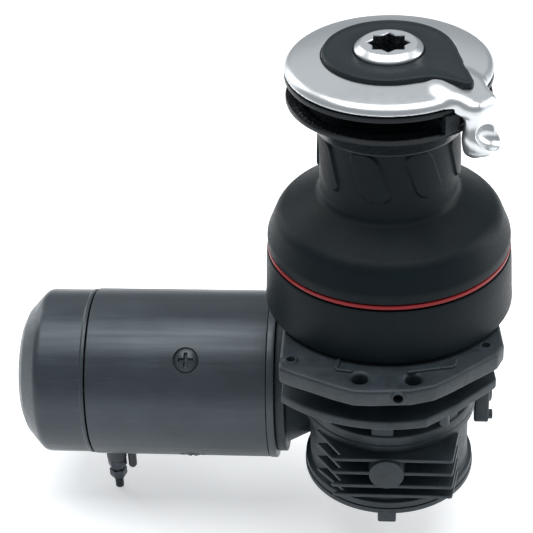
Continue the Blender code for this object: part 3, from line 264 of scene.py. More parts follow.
def along_x(shell, y=MOTOR_Y, z=MOTOR_Z):
    """Lays a shell's Z on the world's X."""
    points, faces = shell
    return np.stack([points[:, 2], points[:, 0] + y, points[:, 1] + z], axis=1), faces


def along_y(shell, x=0.0, z=0.0):
    """Lays a shell's Z on the world's Y."""
    points, faces = shell
    return np.stack([points[:, 0] + x, points[:, 2], points[:, 1] + z], axis=1), faces


def arc(radius, start, end, count, x=0.0, y=0.0):
    angles = np.radians(np.linspace(start, end, count + 1))
    return [(x + radius * math.cos(a), y + radius * math.sin(a)) for a in angles]


def ring(radius, count=48, x=0.0, y=0.0):
    return arc(radius, 0.0, 360.0 * (count - 1) / count, count - 1, x, y)


def weld(mesh, dist=0.00001):
    bm = bmesh.new()
    bm.from_mesh(mesh)
    bmesh.ops.remove_doubles(bm, verts=bm.verts, dist=dist)
    bmesh.ops.recalc_face_normals(bm, faces=bm.faces)
    bm.to_mesh(mesh)
    bm.free()


def piece(name, shells, look, body, nodes=(), angle=SHARP):
    """One visible object from shells, on a CAD body, standing for CAD nodes."""
    points, faces, start = [], [], 0
    for shell_points, shell_faces in shells:
        points.append(shell_points)
        faces += [[i + start for i in face] for face in shell_faces]
        start += len(shell_points)
    mesh = bpy.data.meshes.new(name)
    mesh.from_pydata((np.concatenate(points) * MM).tolist(), [], faces)
    weld(mesh)
    mesh.shade_smooth()
    mesh.set_sharp_from_angle(angle=math.radians(angle))
    obj = bpy.data.objects.new(name, mesh)
    bpy.context.scene.collection.objects.link(obj)
    return dress(obj, look, body, nodes)


def dress(obj, look, body, nodes=()):
    obj.data.materials.append(FINISHES[look])
    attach(obj, body)
    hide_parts(*nodes)
    return obj


def smooth_step(value):
    t = np.clip(value, 0.0, 1.0)
    return t * t * (3.0 - 2.0 * t)


def thread(radius, z0, z1, pitch=1.0, depth=0.35, steps=36):
    """A threaded rod as rings whose radius follows a helix."""
    angles = np.arange(steps) * TAU / steps
    rows = [(0.0, z0), (radius - 0.8, z0)]
    count = max(4, int((z1 - z0) / pitch * 5))
    for i in range(count + 1):
        z = z0 + 0.5 + (z1 - z0 - 1.0) * i / count
        wave = 0.5 - 0.5 * np.cos(TAU * z / pitch - angles)
        rows.append((radius - depth * wave, z))
    return lathe(rows + [(radius - 0.8, z1), (0.0, z1)], steps)


def hex_loop(across, x=0.0, y=0.0, turn=0.0):
    radius = across / math.sqrt(3.0)
    return arc(radius, turn, turn + 300.0, 5, x, y)


def box_shell(low, high, edge=0.8):
    """A box with rounded edges, as a slab whose corners are rounded too."""
    outline = fillet([(low[0], low[1], edge), (high[0], low[1], edge), (high[0], high[1], edge),
                      (low[0], high[1], edge)], True)
    return slab([outline], low[2], high[2], edge)


def socket_screw(radius, height):
    """A cap screw head seen from its end, with a hexagon recess, standing on z = 0."""
    steps = 48
    angles = np.arange(steps) * TAU / steps
    inner = 0.52 * radius / np.cos((angles + math.pi / 6) % (math.pi / 3) - math.pi / 6)
    rows = [(0.0, height * 0.45), (inner * 0.98, height * 0.45), (inner, height - 0.15)]
    rows += [(inner + 0.15, height), (radius - 0.4, height), (radius, height - 0.4), (radius, 0.0),
             (0.0, 0.0)]
    return lathe(rows, steps)


# ---------------------------------------------------------------- drum, red ring and skirt

PADS = 8
PAD_LOW, PAD_HIGH = 88.5, 118.6
PAD_RISE = 1.5
PAD_START = 59.0             # degrees back from +X to the first pad's middle
DRUM_R = 71.8
RING_R = 71.9


def waist_radius(z):
    return np.interp(z, (78.0, 99.0, 122.0), (40.2, 40.0, 39.5))


def pad_rise(z, steps):
    """How far the slanted grip pads stand out of the waist at one height, round the ring."""
    angles = np.degrees(np.arange(steps) * TAU / steps)
    lean = 14.0 * (0.5 - (z - PAD_LOW) / (PAD_HIGH - PAD_LOW))
    pitch = 360.0 / PADS
    away = (angles + PAD_START - lean + 0.5 * pitch) % pitch - 0.5 * pitch
    across = np.radians(away) * 40.0
    half_w, half_h, corner = 8.4, 0.5 * (PAD_HIGH - PAD_LOW), 6.5
    tall = abs(z - 0.5 * (PAD_LOW + PAD_HIGH))
    qx = np.abs(across) - (half_w - corner)
    qz = tall - (half_h - corner)
    distance = np.hypot(np.maximum(qx, 0.0), max(qz, 0.0)) + np.minimum(np.maximum(qx, qz), 0.0) - corner
    return PAD_RISE * smooth_step(0.5 - distance / 1.1)


def build_drum():
    steps = 480
    rows = [(34.5, 149.6), (34.5, 121.0), (38.6, 121.0)]
    for z in np.linspace(120.6, 86.0, 58):
        rows.append((waist_radius(z) + pad_rise(z, steps), z))
    lower = fillet([(40.15, 84.0), (40.2, 75.6, 16.0), (65.6, 61.3, 13.5), (DRUM_R, 46.0, 13.5),
                    (DRUM_R, 43.0)], steps=14)
    side = fillet([(DRUM_R, 43.0), (DRUM_R, 40.6, 0.7), (64.5, 40.6), (64.5, 46.6), (58.0, 46.6),
                   (46.2, 64.0), (31.5, 66.0), (31.5, 149.6)], steps=3)
    piece("drum_shell", [lathe(rows + lower + side[1:], steps)], "drum_black", "drum_body", ["drum"], 40.0)
    red = fillet([(RING_R, 39.6, 0.6), (RING_R, 37.4, 0.6), (64.5, 37.1), (64.5, 40.3)], True)
    piece("red_band", [lathe(red, 192)], "trim_red", "drum_body", ["red_ring"])
    skirt = fillet([(67.5, 36.8), (67.5, 36.0), (72.3, 36.0, 0.8), (73.0, 26.0, 30.0), (73.7, 8.0, 8.0),
                    (74.2, 1.5, 0.8), (71.2, 1.5, 0.4), (69.2, 29.0), (64.5, 29.0), (64.5, 36.8)], True)
    piece("drum_skirt", [lathe(skirt, 192)], "drum_black", "drum_body", ["skirt"], 40.0)


# ---------------------------------------------------------------- jaws

JAW_TEETH = 48
JAW_SWIRL = 0.020            # turns that a tooth leans back for each millimetre outward
JAW_SWIRL_FROM = 46.0


def saw(phase):
    """A leaning tooth: a slow rise and a quick fall."""
    t = phase % 1.0
    return np.where(t < 0.68, t / 0.68, (1.0 - t) / 0.32)


def build_jaws():
    steps = 576
    turns = np.arange(steps) / steps
    flare = fillet([(58.2, 135.5, 0.4), (56.4, 134.6, 1.5), (48.6, 129.0, 9.0), (43.6, 121.2, 4.0),
                    (43.3, 119.9, 0.3), (42.1, 119.9), (42.1, 129.6), (35.2, 129.6), (35.2, 131.0),
                    (46.0, 131.0)], steps=5)
    rows = [(57.6, 137.9), (58.2, 137.3)] + flare
    for radius in np.linspace(46.4, 57.0, 26):
        swirl = JAW_SWIRL * (radius - JAW_SWIRL_FROM)
        base = 131.6 + (radius - 46.4) * 0.50
        inner = smooth_step((52.0 - radius) / 1.2) * smooth_step((radius - 46.2) / 0.6)
        outer = smooth_step((radius - 52.0) / 0.8) * smooth_step((57.0 - radius) / 0.9)
        rows.append((radius, base + (4.9 * inner + outer) * saw(JAW_TEETH * (turns + swirl))))
    piece("lower_jaw_ribbed", [lathe(rows, steps)], "jaw_black", "sprung_jaw", ["lower_jaw"], 28.0)
    rows = fillet([(34.8, 149.9), (32.0, 149.9), (32.0, 152.0), (58.5, 152.0, 0.5), (58.7, 149.3, 0.9),
                   (57.4, 149.0)], steps=4)
    for radius in np.linspace(57.0, 46.2, 24):
        swirl = JAW_SWIRL * (radius - JAW_SWIRL_FROM)
        base = 143.9 + (radius - 46.2) * 0.48
        fade = smooth_step((57.0 - radius) / 1.0) * smooth_step((radius - 46.0) / 0.8)
        rows.append((radius, base + 0.9 * fade * saw(JAW_TEETH * (swirl - turns))))
    rows += [(38.5, 143.9), (34.8, 142.5)]
    piece("upper_jaw_ribbed", [lathe(rows, steps)], "jaw_black", "drum_body", ["upper_jaw"], 28.0)


# ---------------------------------------------------------------- cap with its feeder arm

ARM = math.radians(-41.0)
INSERT_R = 37.2
TIP_ROOT = (30.0, -30.5, 14.5)
TIP_END = (56.0, -40.2, 3.6)


def polar(radius, degrees):
    return radius * math.cos(math.radians(degrees)), radius * math.sin(math.radians(degrees))


def blend_min(a, b, width):
    h = np.maximum(width - np.abs(a - b), 0.0) / width
    return np.minimum(a, b) - h * h * width * 0.25


def blend_max(a, b, width):
    return -blend_min(-a, -b, width)


def round_box(coords, center, half, corner):
    deep = [np.abs(c - m) - (h - corner) for c, m, h in zip(coords, center, half)]
    outside = np.sqrt(sum(np.maximum(d, 0.0) ** 2 for d in deep))
    inside = np.minimum(np.maximum.reduce(deep), 0.0)
    return outside + inside - corner


def egg(coords, center, radii):
    shares = [(c - m) / r for c, m, r in zip(coords, center, radii)]
    length = np.sqrt(sum(s * s for s in shares)) + 1e-9
    slope = np.sqrt(sum((s / r) ** 2 for s, r in zip(shares, radii))) / length + 1e-9
    return (length - 1.0) / slope


def round_cone(x, y, first, last):
    """Distance to the hull of two circles, each given as (radius from the axis, azimuth, size)."""
    ax, ay = polar(*first[:2])
    bx, by = polar(*last[:2])
    length = math.hypot(bx - ax, by - ay)
    ux, uy = (bx - ax) / length, (by - ay) / length
    along = (x - ax) * ux + (y - ay) * uy
    across = np.abs(-(x - ax) * uy + (y - ay) * ux)
    lean = (first[2] - last[2]) / length
    rise = math.sqrt(1.0 - lean * lean)
    share = along * rise - across * lean
    near = np.hypot(along, across) - first[2]
    far = np.hypot(along - length, across) - last[2]
    side = along * lean + across * rise - first[2]
    return np.where(share < 0, near, np.where(share > length * rise, far, side))


def insert_field(x, y):
    """Distance outside the insert's outline: a circle drawn out to a rounded tip over the arm."""
    return blend_min(np.hypot(x, y) - INSERT_R, round_cone(x, y, TIP_ROOT, TIP_END), 9.0)


def insert_radius(angles, inset=0.0):
    """Radius of the insert's outline at each angle, moved in by an inset and found by halving."""
    low = np.full_like(angles, INSERT_R - 6.0)
    high = np.full_like(angles, 64.0)
    for _ in range(24):
        middle = 0.5 * (low + high)
        inside = insert_field(middle * np.cos(angles), middle * np.sin(angles)) < -inset
        low = np.where(inside, middle, low)
        high = np.where(inside, high, middle)
    return 0.5 * (low + high)


def dome_height(radius):
    return 162.9 - 0.0034 * np.maximum(radius - 18.0, 0.0) ** 2


def cap_field(x, y, z):
    """Signed distance, roughly, to the polished cap and the arm that hangs from it."""
    radius = np.hypot(x, y)
    u = x * math.cos(ARM) + y * math.sin(ARM)
    v = -x * math.sin(ARM) + y * math.cos(ARM)
    top = z - dome_height(radius)
    cap = blend_max(blend_max(top, radius - 58.7, 5.0), 153.0 - z, 1.0)
    lobe = round_box((u, v), (55.4, 0.3), (15.2, 10.6), 7.5)
    lobe = blend_max(lobe, top - 0.4, 5.0)
    lobe = blend_max(lobe, 150.5 - z, 3.0)
    leg = round_box((u, v, z), (65.6, 0.2, 140.0), (5.3, 9.8, 17.0), 4.6)
    drop = 0.34 * (v - 1.0)
    spoon = egg((u, v, z + drop), (68.4, 0.8, 130.5), (8.8, 12.0, 8.0))
    arm = blend_min(blend_min(lobe, leg, 5.0), spoon, 5.0)
    scoop = egg((u, v, z + drop), (75.0, 0.8, 135.2), (8.6, 10.6, 7.6))
    arm = blend_max(arm, -scoop, 1.6)
    solid = blend_min(cap, arm, 10.0)
    keep_clear = blend_max(radius - 60.4, z - 152.9, 0.8)
    solid = blend_max(solid, -keep_clear, 0.8)
    pocket = blend_max(insert_field(x, y) - 0.7, 160.4 - z, 0.6)
    solid = blend_max(solid, -pocket, 0.9)
    return blend_max(solid, 16.5 - radius, 0.6)


def net(field, low, high, step):
    """Points and quads on the zero surface of a field, drawn onto it, with its normals."""
    axes = [np.arange(a, b + step, step) for a, b in zip(low, high)]
    layers = [field(*np.meshgrid(axes[0], axes[1], [z], indexing="ij"))[:, :, 0] for z in axes[2]]
    grid = np.stack(layers, axis=2)
    inside = grid < 0
    count = sum(
        inside[i:i - 1 or None, j:j - 1 or None, k:k - 1 or None].astype(np.int8)
        for i in (0, 1) for j in (0, 1) for k in (0, 1)
    )
    active = (count > 0) & (count < 8)
    index = np.full(active.shape, -1)
    index[active] = np.arange(int(active.sum()))
    points = np.stack([axes[n][where] + 0.5 * step for n, where in enumerate(np.nonzero(active))], axis=1)
    faces = []
    for axis in range(3):
        a = np.moveaxis(inside, axis, 0)
        cells = np.moveaxis(index, axis, 0)
        crossing = np.nonzero(a[:-1, 1:-1, 1:-1] != a[1:, 1:-1, 1:-1])
        i, j, k = crossing[0], crossing[1], crossing[2]
        corners = [cells[i, j, k], cells[i, j + 1, k], cells[i, j + 1, k + 1], cells[i, j, k + 1]]
        faces.append(np.stack(corners, axis=1))
    for _ in range(5):
        value = field(*points.T)
        slope = gradient(field, points)
        shift = -value[:, None] * slope / np.maximum((slope ** 2).sum(axis=1, keepdims=True), 0.05)
        length = np.linalg.norm(shift, axis=1, keepdims=True)
        points = points + shift * np.minimum(1.0, 0.5 * step / np.maximum(length, 1e-9))
    slope = gradient(field, points)
    quads = np.concatenate(faces)
    facing = np.cross(points[quads[:, 2]] - points[quads[:, 0]], points[quads[:, 3]] - points[quads[:, 1]])
    inward = (facing * slope[quads[:, 0]]).sum(axis=1) < 0
    quads[inward] = quads[inward][:, ::-1]
    return points, quads, slope / np.linalg.norm(slope, axis=1, keepdims=True)


def gradient(field, points, reach=0.05):
    out = []
    for axis in range(3):
        step = np.zeros(3)
        step[axis] = reach
        out.append((field(*(points + step).T) - field(*(points - step).T)) / (2.0 * reach))
    return np.stack(out, axis=1)


def build_cap():
    points, faces, normals = net(cap_field, (-61.0, -76.0, 118.5), (80.0, 61.0, 165.0), 0.8)
    mesh = bpy.data.meshes.new("cap_and_arm")
    mesh.from_pydata((points * MM).tolist(), [], faces.tolist())
    mesh.shade_smooth()
    mesh.normals_split_custom_set_from_vertices(normals.tolist())
    obj = bpy.data.objects.new("cap_and_arm", mesh)
    bpy.context.scene.collection.objects.link(obj)
    dress(obj, "polished", "housing", ["self_tailing_arm"])


def build_insert():
    steps = 720
    angles = np.arange(steps) * TAU / steps
    rows = [(19.95, 160.5), (19.95, 163.3), (20.5, 163.8)]
    for inset, z in ((3.6, 163.7), (2.9, 163.35), (2.4, 163.35), (1.7, 163.9), (1.1, 164.0), (0.6, 163.8),
                     (0.2, 163.3), (0.0, 162.4), (0.0, 160.5)):
        rows.append((insert_radius(angles, inset), z))
    piece("cap_insert", [lathe(rows, steps)], "insert_black", "housing", ["top_insert"], 50.0)


STAR_HALF = 8.75             # half the handle drive's size across flats


def build_socket():
    steps = 256
    angles = np.arange(steps) * TAU / steps
    star = np.zeros(steps)
    for turn in (0.0, TAU / 8):
        side = np.maximum(np.abs(np.cos(angles + turn)), np.abs(np.sin(angles + turn)))
        star = np.maximum(star, STAR_HALF / side)
    rows = [(star + 0.3, 166.2), (star + 0.05, 167.7), (star + 0.5, 168.2)]
    rows += fillet([(14.3, 168.2), (15.8, 168.2, 3.0), (19.5, 165.2, 2.0), (19.5, 160.4),
                    (star + 0.3, 160.4)], steps=6)
    piece("winch_socket", [lathe(rows, steps)], "polished", "spindle_body", ["handle_socket"], 30.0)
    rows = [(0.0, 143.2), (star, 143.2), (star, 167.2), (star + 0.2, 167.2), (14.0, 160.0), (14.0, 140.2),
            (0.0, 140.2)]
    piece("star_bore", [lathe(rows, steps)], "bore_black", "spindle_body", (), 30.0)


def build_stripper():
    cheek = arc(60.4, -58.5, -49.5, 6) + arc(56.0, -49.5, -58.5, 6)
    shells = [slab([cheek], 138.3, 149.3, 0.5)]
    tongue = arc(58.2, -58.0, -51.5, 4) + arc(48.2, -51.5, -58.0, 4)
    shells.append(slab([tongue], 140.3, 144.4, 0.5))
    piece("rope_stripper", shells, "jaw_black", "housing", ["line_stripper"])


# ---------------------------------------------------------------- flange

EAR_HOLES = ((-54.8, -68.6), (57.2, -50.8), (-53.0, 62.0), (60.0, 59.0))
FRONT_HOLES = ((-14.6, -84.3), (15.6, -84.3))
BASE_BOLTS = [polar(63.0, azimuth) for azimuth in (-122.5, -57.5, 57.5, 122.5)]
RIDGES = (((-27.0, -68.0), (-28.5, -77.5), (-19.0, -79.0)),
          ((40.0, -66.5), (38.5, -73.0), (31.0, -74.5), (12.0, -79.0)))
PORT_X, PORT_Z = 7.3, -5.6


def build_flange():
    front = [(-61.6, -76.0, 3.0), (-53.0, -81.0, 5.0), (-43.6, -85.5, 8.0), (-29.2, -92.6, 10.0),
             (-18.0, -97.0, 6.0), (-8.0, -97.3, 8.0), (15.0, -95.6, 6.0), (28.0, -91.0, 10.0),
             (37.2, -84.0, 8.0), (51.3, -71.0, 10.0), (64.0, -59.5, 5.0)]
    rear = [(68.0, -50.0, 5.0), (66.0, -30.0, 10.0), (60.0, -12.0, 14.0), (60.0, 14.0, 14.0),
            (67.0, 44.0, 10.0), (69.0, 60.0, 5.0), (62.0, 68.0, 5.0), (40.0, 74.0, 12.0), (18.0, 86.0, 12.0),
            (-18.0, 86.0, 12.0), (-40.0, 78.0, 12.0), (-60.0, 70.0, 5.0), (-61.6, 56.0, 3.0)]
    outline = fillet(front + rear, True, 3)
    holes = [ring(2.5, 24, *place) for place in EAR_HOLES] + [ring(4.8, 32, *place) for place in FRONT_HOLES]
    holes.append(ring(14.4, 48))
    points, faces = slab([outline] + holes, -13.0, -1.0, 2.2, 3)
    near = smooth_step((-points[:, 1] - 62.0) / 20.0)
    points[:, 1] += 1.2 * near * smooth_step((-4.0 - points[:, 2]) / 9.0)
    shells = [(points, faces)]
    for path in RIDGES:
        for (x0, y0), (x1, y1) in zip(path, path[1:]):
            length = math.hypot(x1 - x0, y1 - y0)
            nx, ny = (y1 - y0) / length * 1.1, -(x1 - x0) / length * 1.1
            wall = [(x0 + nx, y0 + ny, 0.8), (x1 + nx, y1 + ny, 0.8), (x1 - nx, y1 - ny, 0.8),
                    (x0 - nx, y0 - ny, 0.8)]
            shells.append(slab([fillet(wall, True, 3)], -3.0, 0.5, 0.6))
    for x, y in EAR_HOLES:
        top = -0.9 if (x, y) == EAR_HOLES[1] else 0.0
        pad = fillet([(2.5, -2.0), (2.5, top, 0.3), (3.9, top, 0.3), (4.4, -0.95, 0.4), (6.6, -1.3),
                      (6.6, -2.0)], True, 3)
        shells.append(placed(lathe(pad, 40), x, y))
    for x, y in FRONT_HOLES:
        shells.append(placed(lathe([(0.0, -9.8), (5.4, -9.8), (5.4, -10.8), (0.0, -10.8)], 32), x, y))
    rib = fillet([(3.0, -92.5, 1.2), (8.6, -92.5, 1.2), (8.6, -74.6, 1.2), (3.0, -74.6, 1.2)], True, 3)
    shells.append(slab([rib], -3.0, 0.1, 0.9))
    left = math.degrees(math.acos(-61.6 / 91.5))
    rim = arc(91.5, -left, -75.0, 26)
    rim += fillet([(24.0, -88.0), (42.0, -73.5, 10.0), (64.5, -50.0, 5.0), (60.0, -12.0, 20.0),
                   (58.0, 20.0, 20.0), (51.0, 60.9)], steps=4)
    rim += arc(79.5, 50.0, 128.0, 14) + [(-61.6, 50.0)]
    bolts = [ring(3.3, 24, *place) for place in BASE_BOLTS]
    shells.append(slab([rim, ring(14.4, 48)] + bolts, -33.1, -27.1, 1.1, 3))
    neck = fillet([(58.0, -27.9, 1.2), (56.6, -20.0, 8.0), (58.0, -12.4, 1.2), (14.5, -12.4), (14.5, -27.9)],
                  True, 4)
    shells.append(lathe(neck, 96))
    cup = fillet([(0.0, -28.0), (4.3, -28.0), (4.3, -17.5, 0.5), (2.4, -17.5, 0.3), (2.4, -22.0),
                  (0.0, -22.0)], steps=3)
    shells.append(placed(lathe(cup, 40), 0.0, -87.4))
    stud = fillet([(0.0, -40.0), (2.9, -40.0, 1.0), (2.9, -32.0), (0.0, -32.0)], steps=3)
    for x in (-33.9, 33.9):
        shells.append(placed(lathe(stud, 32), x, -76.0))
    flange = piece("gearbox_flange", shells, "casting", "housing", ["mounting_flange"])
    port = along_y(lathe([(0.0, -100.0), (2.8, -100.0), (2.8, -86.0), (0.0, -86.0)], 32), PORT_X, PORT_Z)
    carved(flange, [tool(port)])
    collar = fillet([(2.9, -96.6), (2.9, -97.2, 0.2), (3.9, -97.2, 0.4), (4.3, -94.5), (2.9, -94.5)], True, 3)
    piece("port_collar", [along_y(lathe(collar, 40), PORT_X, PORT_Z)], "casting", "housing")


# ---------------------------------------------------------------- gearbox

def build_gearbox():
    body = fillet([
        (20.3, -33.4), (41.0, -33.4, 0.8), (41.0, -69.0, 3.0), (54.0, -69.0, 1.2), (54.0, -75.1, 0.3),
        (53.1, -75.8, 0.3), (54.0, -76.5, 0.3), (54.0, -81.6, 1.0), (50.0, -82.6, 2.0), (50.0, -121.0, 2.0),
        (53.0, -122.0, 0.8), (53.0, -126.4, 0.5), (36.0, -126.4), (36.0, -82.1), (14.5, -82.1),
        (14.5, -44.4), (20.3, -44.4)], True, 4)
    shells = [lathe(body, 144)]
    for z, front in ((-81.0, -60.0), (-91.2, -60.0), (-101.4, -60.0), (-111.6, -57.0)):
        outline = fillet([(-40.0, front, 2.0), (40.0, front, 2.0), (43.8, -33.0)], True, 4)[:-1]
        outline += [(43.8, -33.0)] + arc(48.5, -43.0, -137.0, 24) + [(-43.8, -33.0)]
        shells.append(slab([outline], z - 2.6, z, 0.55))
    boss = fillet([(0.0, -62.0), (10.6, -62.0, 0.6), (11.4, -46.0), (0.0, -46.0)], steps=3)
    shells.append(along_y(lathe(boss, 64), 0.0, MOTOR_Z))
    for start, end in ((-60.0, -28.0), (28.0, 54.2)):
        tube = fillet([(20.5, start, 0.5), (20.5, end, 0.5), (14.3, end), (14.3, start)], True, 3)
        shells.append(along_x(lathe(tube, 72)))
    for azimuth, half in ((-93.0, 7.2), (-40.0, 4.0), (-141.0, 4.0), (40.0, 5.0), (90.0, 7.0), (141.0, 5.0)):
        outer = arc(53.0, azimuth - half, azimuth + half, 8)
        wall = [(*outer[0], 0.8)] + outer[1:-1] + [(*outer[-1], 0.8)]
        wall += arc(40.2, azimuth + half + 2.0, azimuth - half - 2.0, 8)
        shells.append(slab([fillet(wall, True, 3)], -70.5, -33.5, 0.5))
    piece("gearbox_case", shells, "casting", "housing", ["gearbox_housing"])
    cover = fillet([(0.0, -125.7), (13.2, -125.7), (13.2, -120.7), (16.0, -120.7), (16.0, -126.7),
                    (53.5, -126.7, 0.5), (53.5, -130.6, 1.0), (0.0, -130.6)], steps=3)
    shells = [lathe(cover, 144), box_shell((-5.7, -53.6, -137.6), (5.7, -46.0, -128.0), 1.2)]
    for azimuth in range(15, 375, 60):
        a = math.radians(azimuth)
        head = placed(socket_screw(3.4, 2.6), turn=Matrix.Rotation(math.pi, 3, "X"))
        shells.append(placed(head, 44.0 * math.cos(a), 44.0 * math.sin(a), -130.5))
    piece("gearbox_cover", shells, "casting", "housing", ["bottom_cover"])
    y0, y1 = MOTOR_Y - 22.0, MOTOR_Y + 22.0
    z0, z1 = MOTOR_Z - 22.0, MOTOR_Z + 22.0
    outline = fillet([(z0, y0, 5.0), (z1, y0, 5.0), (z1, y1, 5.0), (z0, y1, 5.0)], True, 6)
    points, faces = slab([outline], 54.5, 64.0, 1.4, 3)
    shells = [(np.stack([points[:, 2], points[:, 1], points[:, 0]], axis=1), faces)]
    hub = fillet([(0.0, 66.0), (15.0, 66.0, 1.0), (17.0, 63.0), (0.0, 63.0)], steps=3)
    shells.append(along_x(lathe(hub, 64)))
    turn = Matrix.Rotation(math.pi / 2, 3, "Y")
    for y in (y0 + 5.0, y1 - 5.0):
        for z in (z0 + 5.0, z1 - 5.0):
            shells.append(placed(socket_screw(3.2, 2.6), 63.9, y, z, turn))
    piece("gearbox_end_plate", shells, "casting", "housing", ["worm_end_cover"])
    adapter = fillet([(26.5, -28.0), (44.4, -65.5, 2.0), (50.4, -65.5, 0.8), (50.4, -71.5, 0.8),
                      (8.0, -71.5), (8.0, -60.5), (20.8, -60.5), (20.8, -28.0)], True, 3)
    piece("motor_neck", [along_x(lathe(adapter, 96))], "casting", "housing", ["motor_adapter"])


def build_base_bolts():
    for index, (x, y) in enumerate(BASE_BOLTS):
        head = slab([hex_loop(8.6, x, y)], 6.3, 10.3, 0.5)
        shank = placed(thread(3.0, -39.6, 7.0), x, y)
        piece(f"deck_bolt_{index + 1}", [head, shank], "dark_steel", "housing", [f"base_bolt_{index + 1}"])


# ---------------------------------------------------------------- motor

POLE_X = -127.4


def screw_head():
    """A domed head with a cross recess, its face up and its rim at z = 0."""
    steps = 120
    angles = np.arange(steps) * TAU / steps
    rows = [(0.0, -0.4)]
    for radius in np.concatenate([np.linspace(0.4, 5.4, 24), np.linspace(5.9, 7.5, 5)]):
        along = np.maximum(np.abs(radius * np.cos(angles)), np.abs(radius * np.sin(angles)))
        across = np.minimum(np.abs(radius * np.cos(angles)), np.abs(radius * np.sin(angles)))
        slot = smooth_step((1.25 - across) / 0.45) * smooth_step((4.9 - along) / 0.9)
        dome = 2.3 * (1.0 - (radius / 7.6) ** 2)
        rows.append((radius, dome - (0.5 + dome) * slot))
    rows += [(7.6, -0.3), (7.5, -2.0), (3.0, -2.0), (3.0, -10.0), (0.0, -10.0)]
    return lathe(rows, steps)


def carved(obj, tools):
    """Cuts closed tools out of an object's mesh."""
    for tool in tools:
        modifier = obj.modifiers.new("cut", "BOOLEAN")
        modifier.operation = "DIFFERENCE"
        modifier.solver = "EXACT"
        modifier.object = tool
    graph = bpy.context.evaluated_depsgraph_get()
    mesh = bpy.data.meshes.new_from_object(obj.evaluated_get(graph))
    obj.modifiers.clear()
    old = obj.data
    obj.data = mesh
    mesh.name = old.name
    mesh.set_sharp_from_angle(angle=math.radians(SHARP))
    for tool in tools:
        bpy.data.objects.remove(tool, do_unlink=True)
    return obj


def tool(shell):
    points, faces = shell
    mesh = bpy.data.meshes.new("tool")
    mesh.from_pydata((points * MM).tolist(), [], faces)
    weld(mesh)
    obj = bpy.data.objects.new("tool", mesh)
    bpy.context.scene.collection.objects.link(obj)
    return obj


def build_motor():
    shield = fillet([(54.7, -71.8, 0.7), (54.7, -76.6, 0.7), (14.3, -76.6), (14.3, -73.4), (7.0, -73.4),
                     (7.0, -71.8)], True, 3)
    piece("motor_shield", [along_x(lathe(shield, 160))], "motor_paint", "housing", ["drive_end_shield"])
    tube = fillet([(MOTOR_R, -76.9, 0.5), (MOTOR_R, -191.5, 0.6), (50.4, -191.5), (50.4, -76.9)], True, 3)
    barrel = piece("motor_barrel", [along_x(lathe(tube, 176))], "motor_paint", "housing", ["motor_tube"])
    turns = [Matrix.Rotation(math.radians(45.0 + 90.0 * index), 3, "X") for index in range(4)]
    tools = []
    for turn in turns:
        well = placed(lathe([(0.0, 60.0), (8.3, 60.0), (8.3, 52.0), (0.0, 52.0)], 48), turn=turn)
        tools.append(tool(placed(well, POLE_X, MOTOR_Y, MOTOR_Z)))
    carved(barrel, tools)
    for index, turn in enumerate(turns):
        head = placed(placed(screw_head(), z=53.0), turn=turn)
        piece(f"pole_bolt_{index + 1}", [placed(head, POLE_X, MOTOR_Y, MOTOR_Z)], "motor_paint", "housing",
              [f"pole_screw_{(3, 2, 1, 4)[index]}"])
    end = fillet([(0.0, -234.5), (11.3, -234.5), (11.3, -223.5), (16.0, -223.5), (16.0, -235.5),
                  (34.0, -235.5), (50.3, -219.0), (50.3, -192.6), (54.0, -192.6, 0.5), (54.0, -194.4, 0.6),
                  (53.5, -195.4, 0.5), (53.5, -224.0, 7.0), (41.0, -235.2, 7.0), (34.0, -238.5, 5.0),
                  (0.0, -238.5)], steps=8)
    piece("motor_end", [along_x(lathe(end, 160))], "motor_paint", "housing", ["motor_end_cap"])


def build_terminals():
    x, y = -183.6, 26.0
    root = MOTOR_Z - math.sqrt(MOTOR_R ** 2 - (y - MOTOR_Y) ** 2)
    base = root - 1.5
    foot = base - 9.5
    body = fillet([(5.0, root + 5.0), (5.0, base), (6.8, base, 0.6), (6.6, foot, 0.8), (3.6, foot),
                   (3.6, root + 5.0)], True, 3)
    piece("stud_insulator", [placed(lathe(body, 48), x, y)], "insulator", "housing", ["terminal_insulator"])
    top = foot - 0.3
    piece("power_stud", [placed(thread(2.9, top - 25.0, root + 9.0, 1.25), x, y)], "dark_steel", "housing",
          ["terminal_stud"])
    spacer = fillet([(3.3, top - 5.8), (5.2, top - 5.8, 0.3), (5.2, top - 7.2, 0.3), (4.4, top - 7.2),
                     (4.4, top - 8.8), (3.3, top - 8.8)], True, 2)
    shells = [placed(lathe(spacer, 48), x, y),
              slab([hex_loop(11.1, x, y, 0.0), ring(3.3, 24, x, y)], top - 6.1, top, 0.6),
              slab([hex_loop(10.2, x, y, 14.0), ring(3.3, 24, x, y)], top - 14.8, top - 8.5, 0.6)]
    piece("stud_nuts", shells, "dark_steel", "housing", ["terminal_nut"])
    stub = fillet([(0.0, root + 6.0), (2.4, root + 6.0), (2.4, root - 1.5), (2.9, root - 1.5, 0.4),
                   (2.8, root - 17.0, 0.8), (1.8, root - 18.5, 0.6), (0.0, root - 18.5)], steps=3)
    piece("short_terminal", [placed(lathe(stub, 40), x + 10.4, y)], "insulator", "housing",
          ["terminal_stub"])


# ---------------------------------------------------------------- nodes shown as they are

def dress_cad():
    slots = {entry["node"]: entry["material_slot"] for entry in frame["record"]["subparts"]}
    for name, node in frame["nodes"].items():
        if not node.hide_render:
            for place in node.material_slots:
                place.material = FINISHES[slots[name]]


# ---------------------------------------------------------------- camera, floor and light

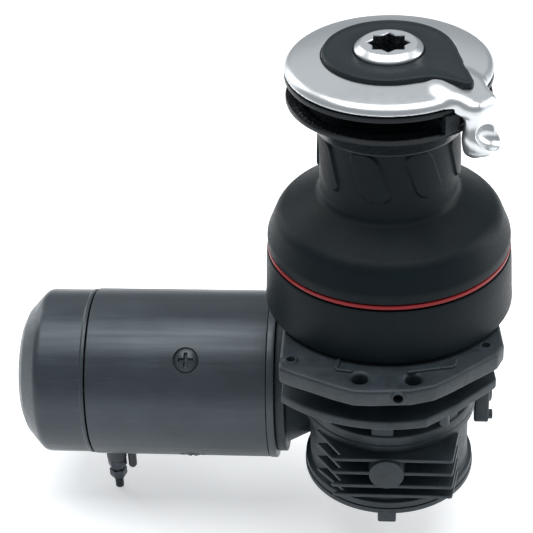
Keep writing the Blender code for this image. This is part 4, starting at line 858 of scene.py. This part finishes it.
def build_studio():
    scene = bpy.context.scene
    data = bpy.data.cameras.new("camera")
    data.sensor_width = 36.0
    data.lens = 119.46
    data.clip_end = 20.0
    camera = bpy.data.objects.new("camera", data)
    camera.location = (0.0183, -0.8824, 0.6115)
    camera.rotation_euler = [math.radians(angle) for angle in (56.177, 2.187, 4.478)]
    scene.collection.objects.link(camera)
    scene.camera = camera
    mesh = bpy.data.meshes.new("floor")
    z = cad_box[0][2] - 0.001
    mesh.from_pydata([(-4, -4, z), (4, -4, z), (4, 4, z), (-4, 4, z)], [], [(0, 1, 2, 3)])
    floor = bpy.data.objects.new("floor", mesh)
    scene.collection.objects.link(floor)
    paper = finish("pale_floor", (0.88, 0.89, 0.90), 0.8, 0.0, mottle=0.01, mottle_scale=4.0, bump=0.0,
                   specular=0.1)
    shader = paper.node_tree.nodes["Principled BSDF"]
    shader.inputs["Emission Color"].default_value = (1.0, 1.0, 1.0, 1.0)
    shader.inputs["Emission Strength"].default_value = 0.36
    mesh.materials.append(paper)
    world = bpy.data.worlds.new("studio")
    world.use_nodes = True
    world.node_tree.nodes["Background"].inputs["Color"].default_value = (0.84, 0.89, 0.93, 1.0)
    world.node_tree.nodes["Background"].inputs["Strength"].default_value = 0.46
    scene.world = world
    lights = (
        ("overhead", (0.0, -0.1, 1.7), (0.0, 0.0, 0.0), 2.2, 1.3, 34.0),
        ("rear", (0.0, 1.9, 1.5), (0.0, 0.0, 0.1), 2.6, 1.2, 3.4),
        ("left", (-1.5, 1.1, 0.8), (0.0, 0.0, 0.0), 0.8, 1.5, 11.0),
        ("right", (1.6, 0.5, 0.6), (0.0, 0.0, 0.05), 0.7, 1.4, 14.0),
    )
    for name, place, target, width, height, power in lights:
        lamp = bpy.data.lights.new(name, "AREA")
        lamp.shape = "RECTANGLE"
        lamp.size = width
        lamp.size_y = height
        lamp.energy = power
        obj = bpy.data.objects.new(name, lamp)
        obj.location = place
        obj.rotation_euler = (Vector(target) - Vector(place)).to_track_quat("-Z", "Y").to_euler()
        scene.collection.objects.link(obj)
    scene.view_settings.view_transform = "Standard"


build_studio()
build_drum()
build_jaws()
build_cap()
build_insert()
build_socket()
build_stripper()
build_flange()
build_gearbox()
build_base_bolts()
build_motor()
build_terminals()
dress_cad()
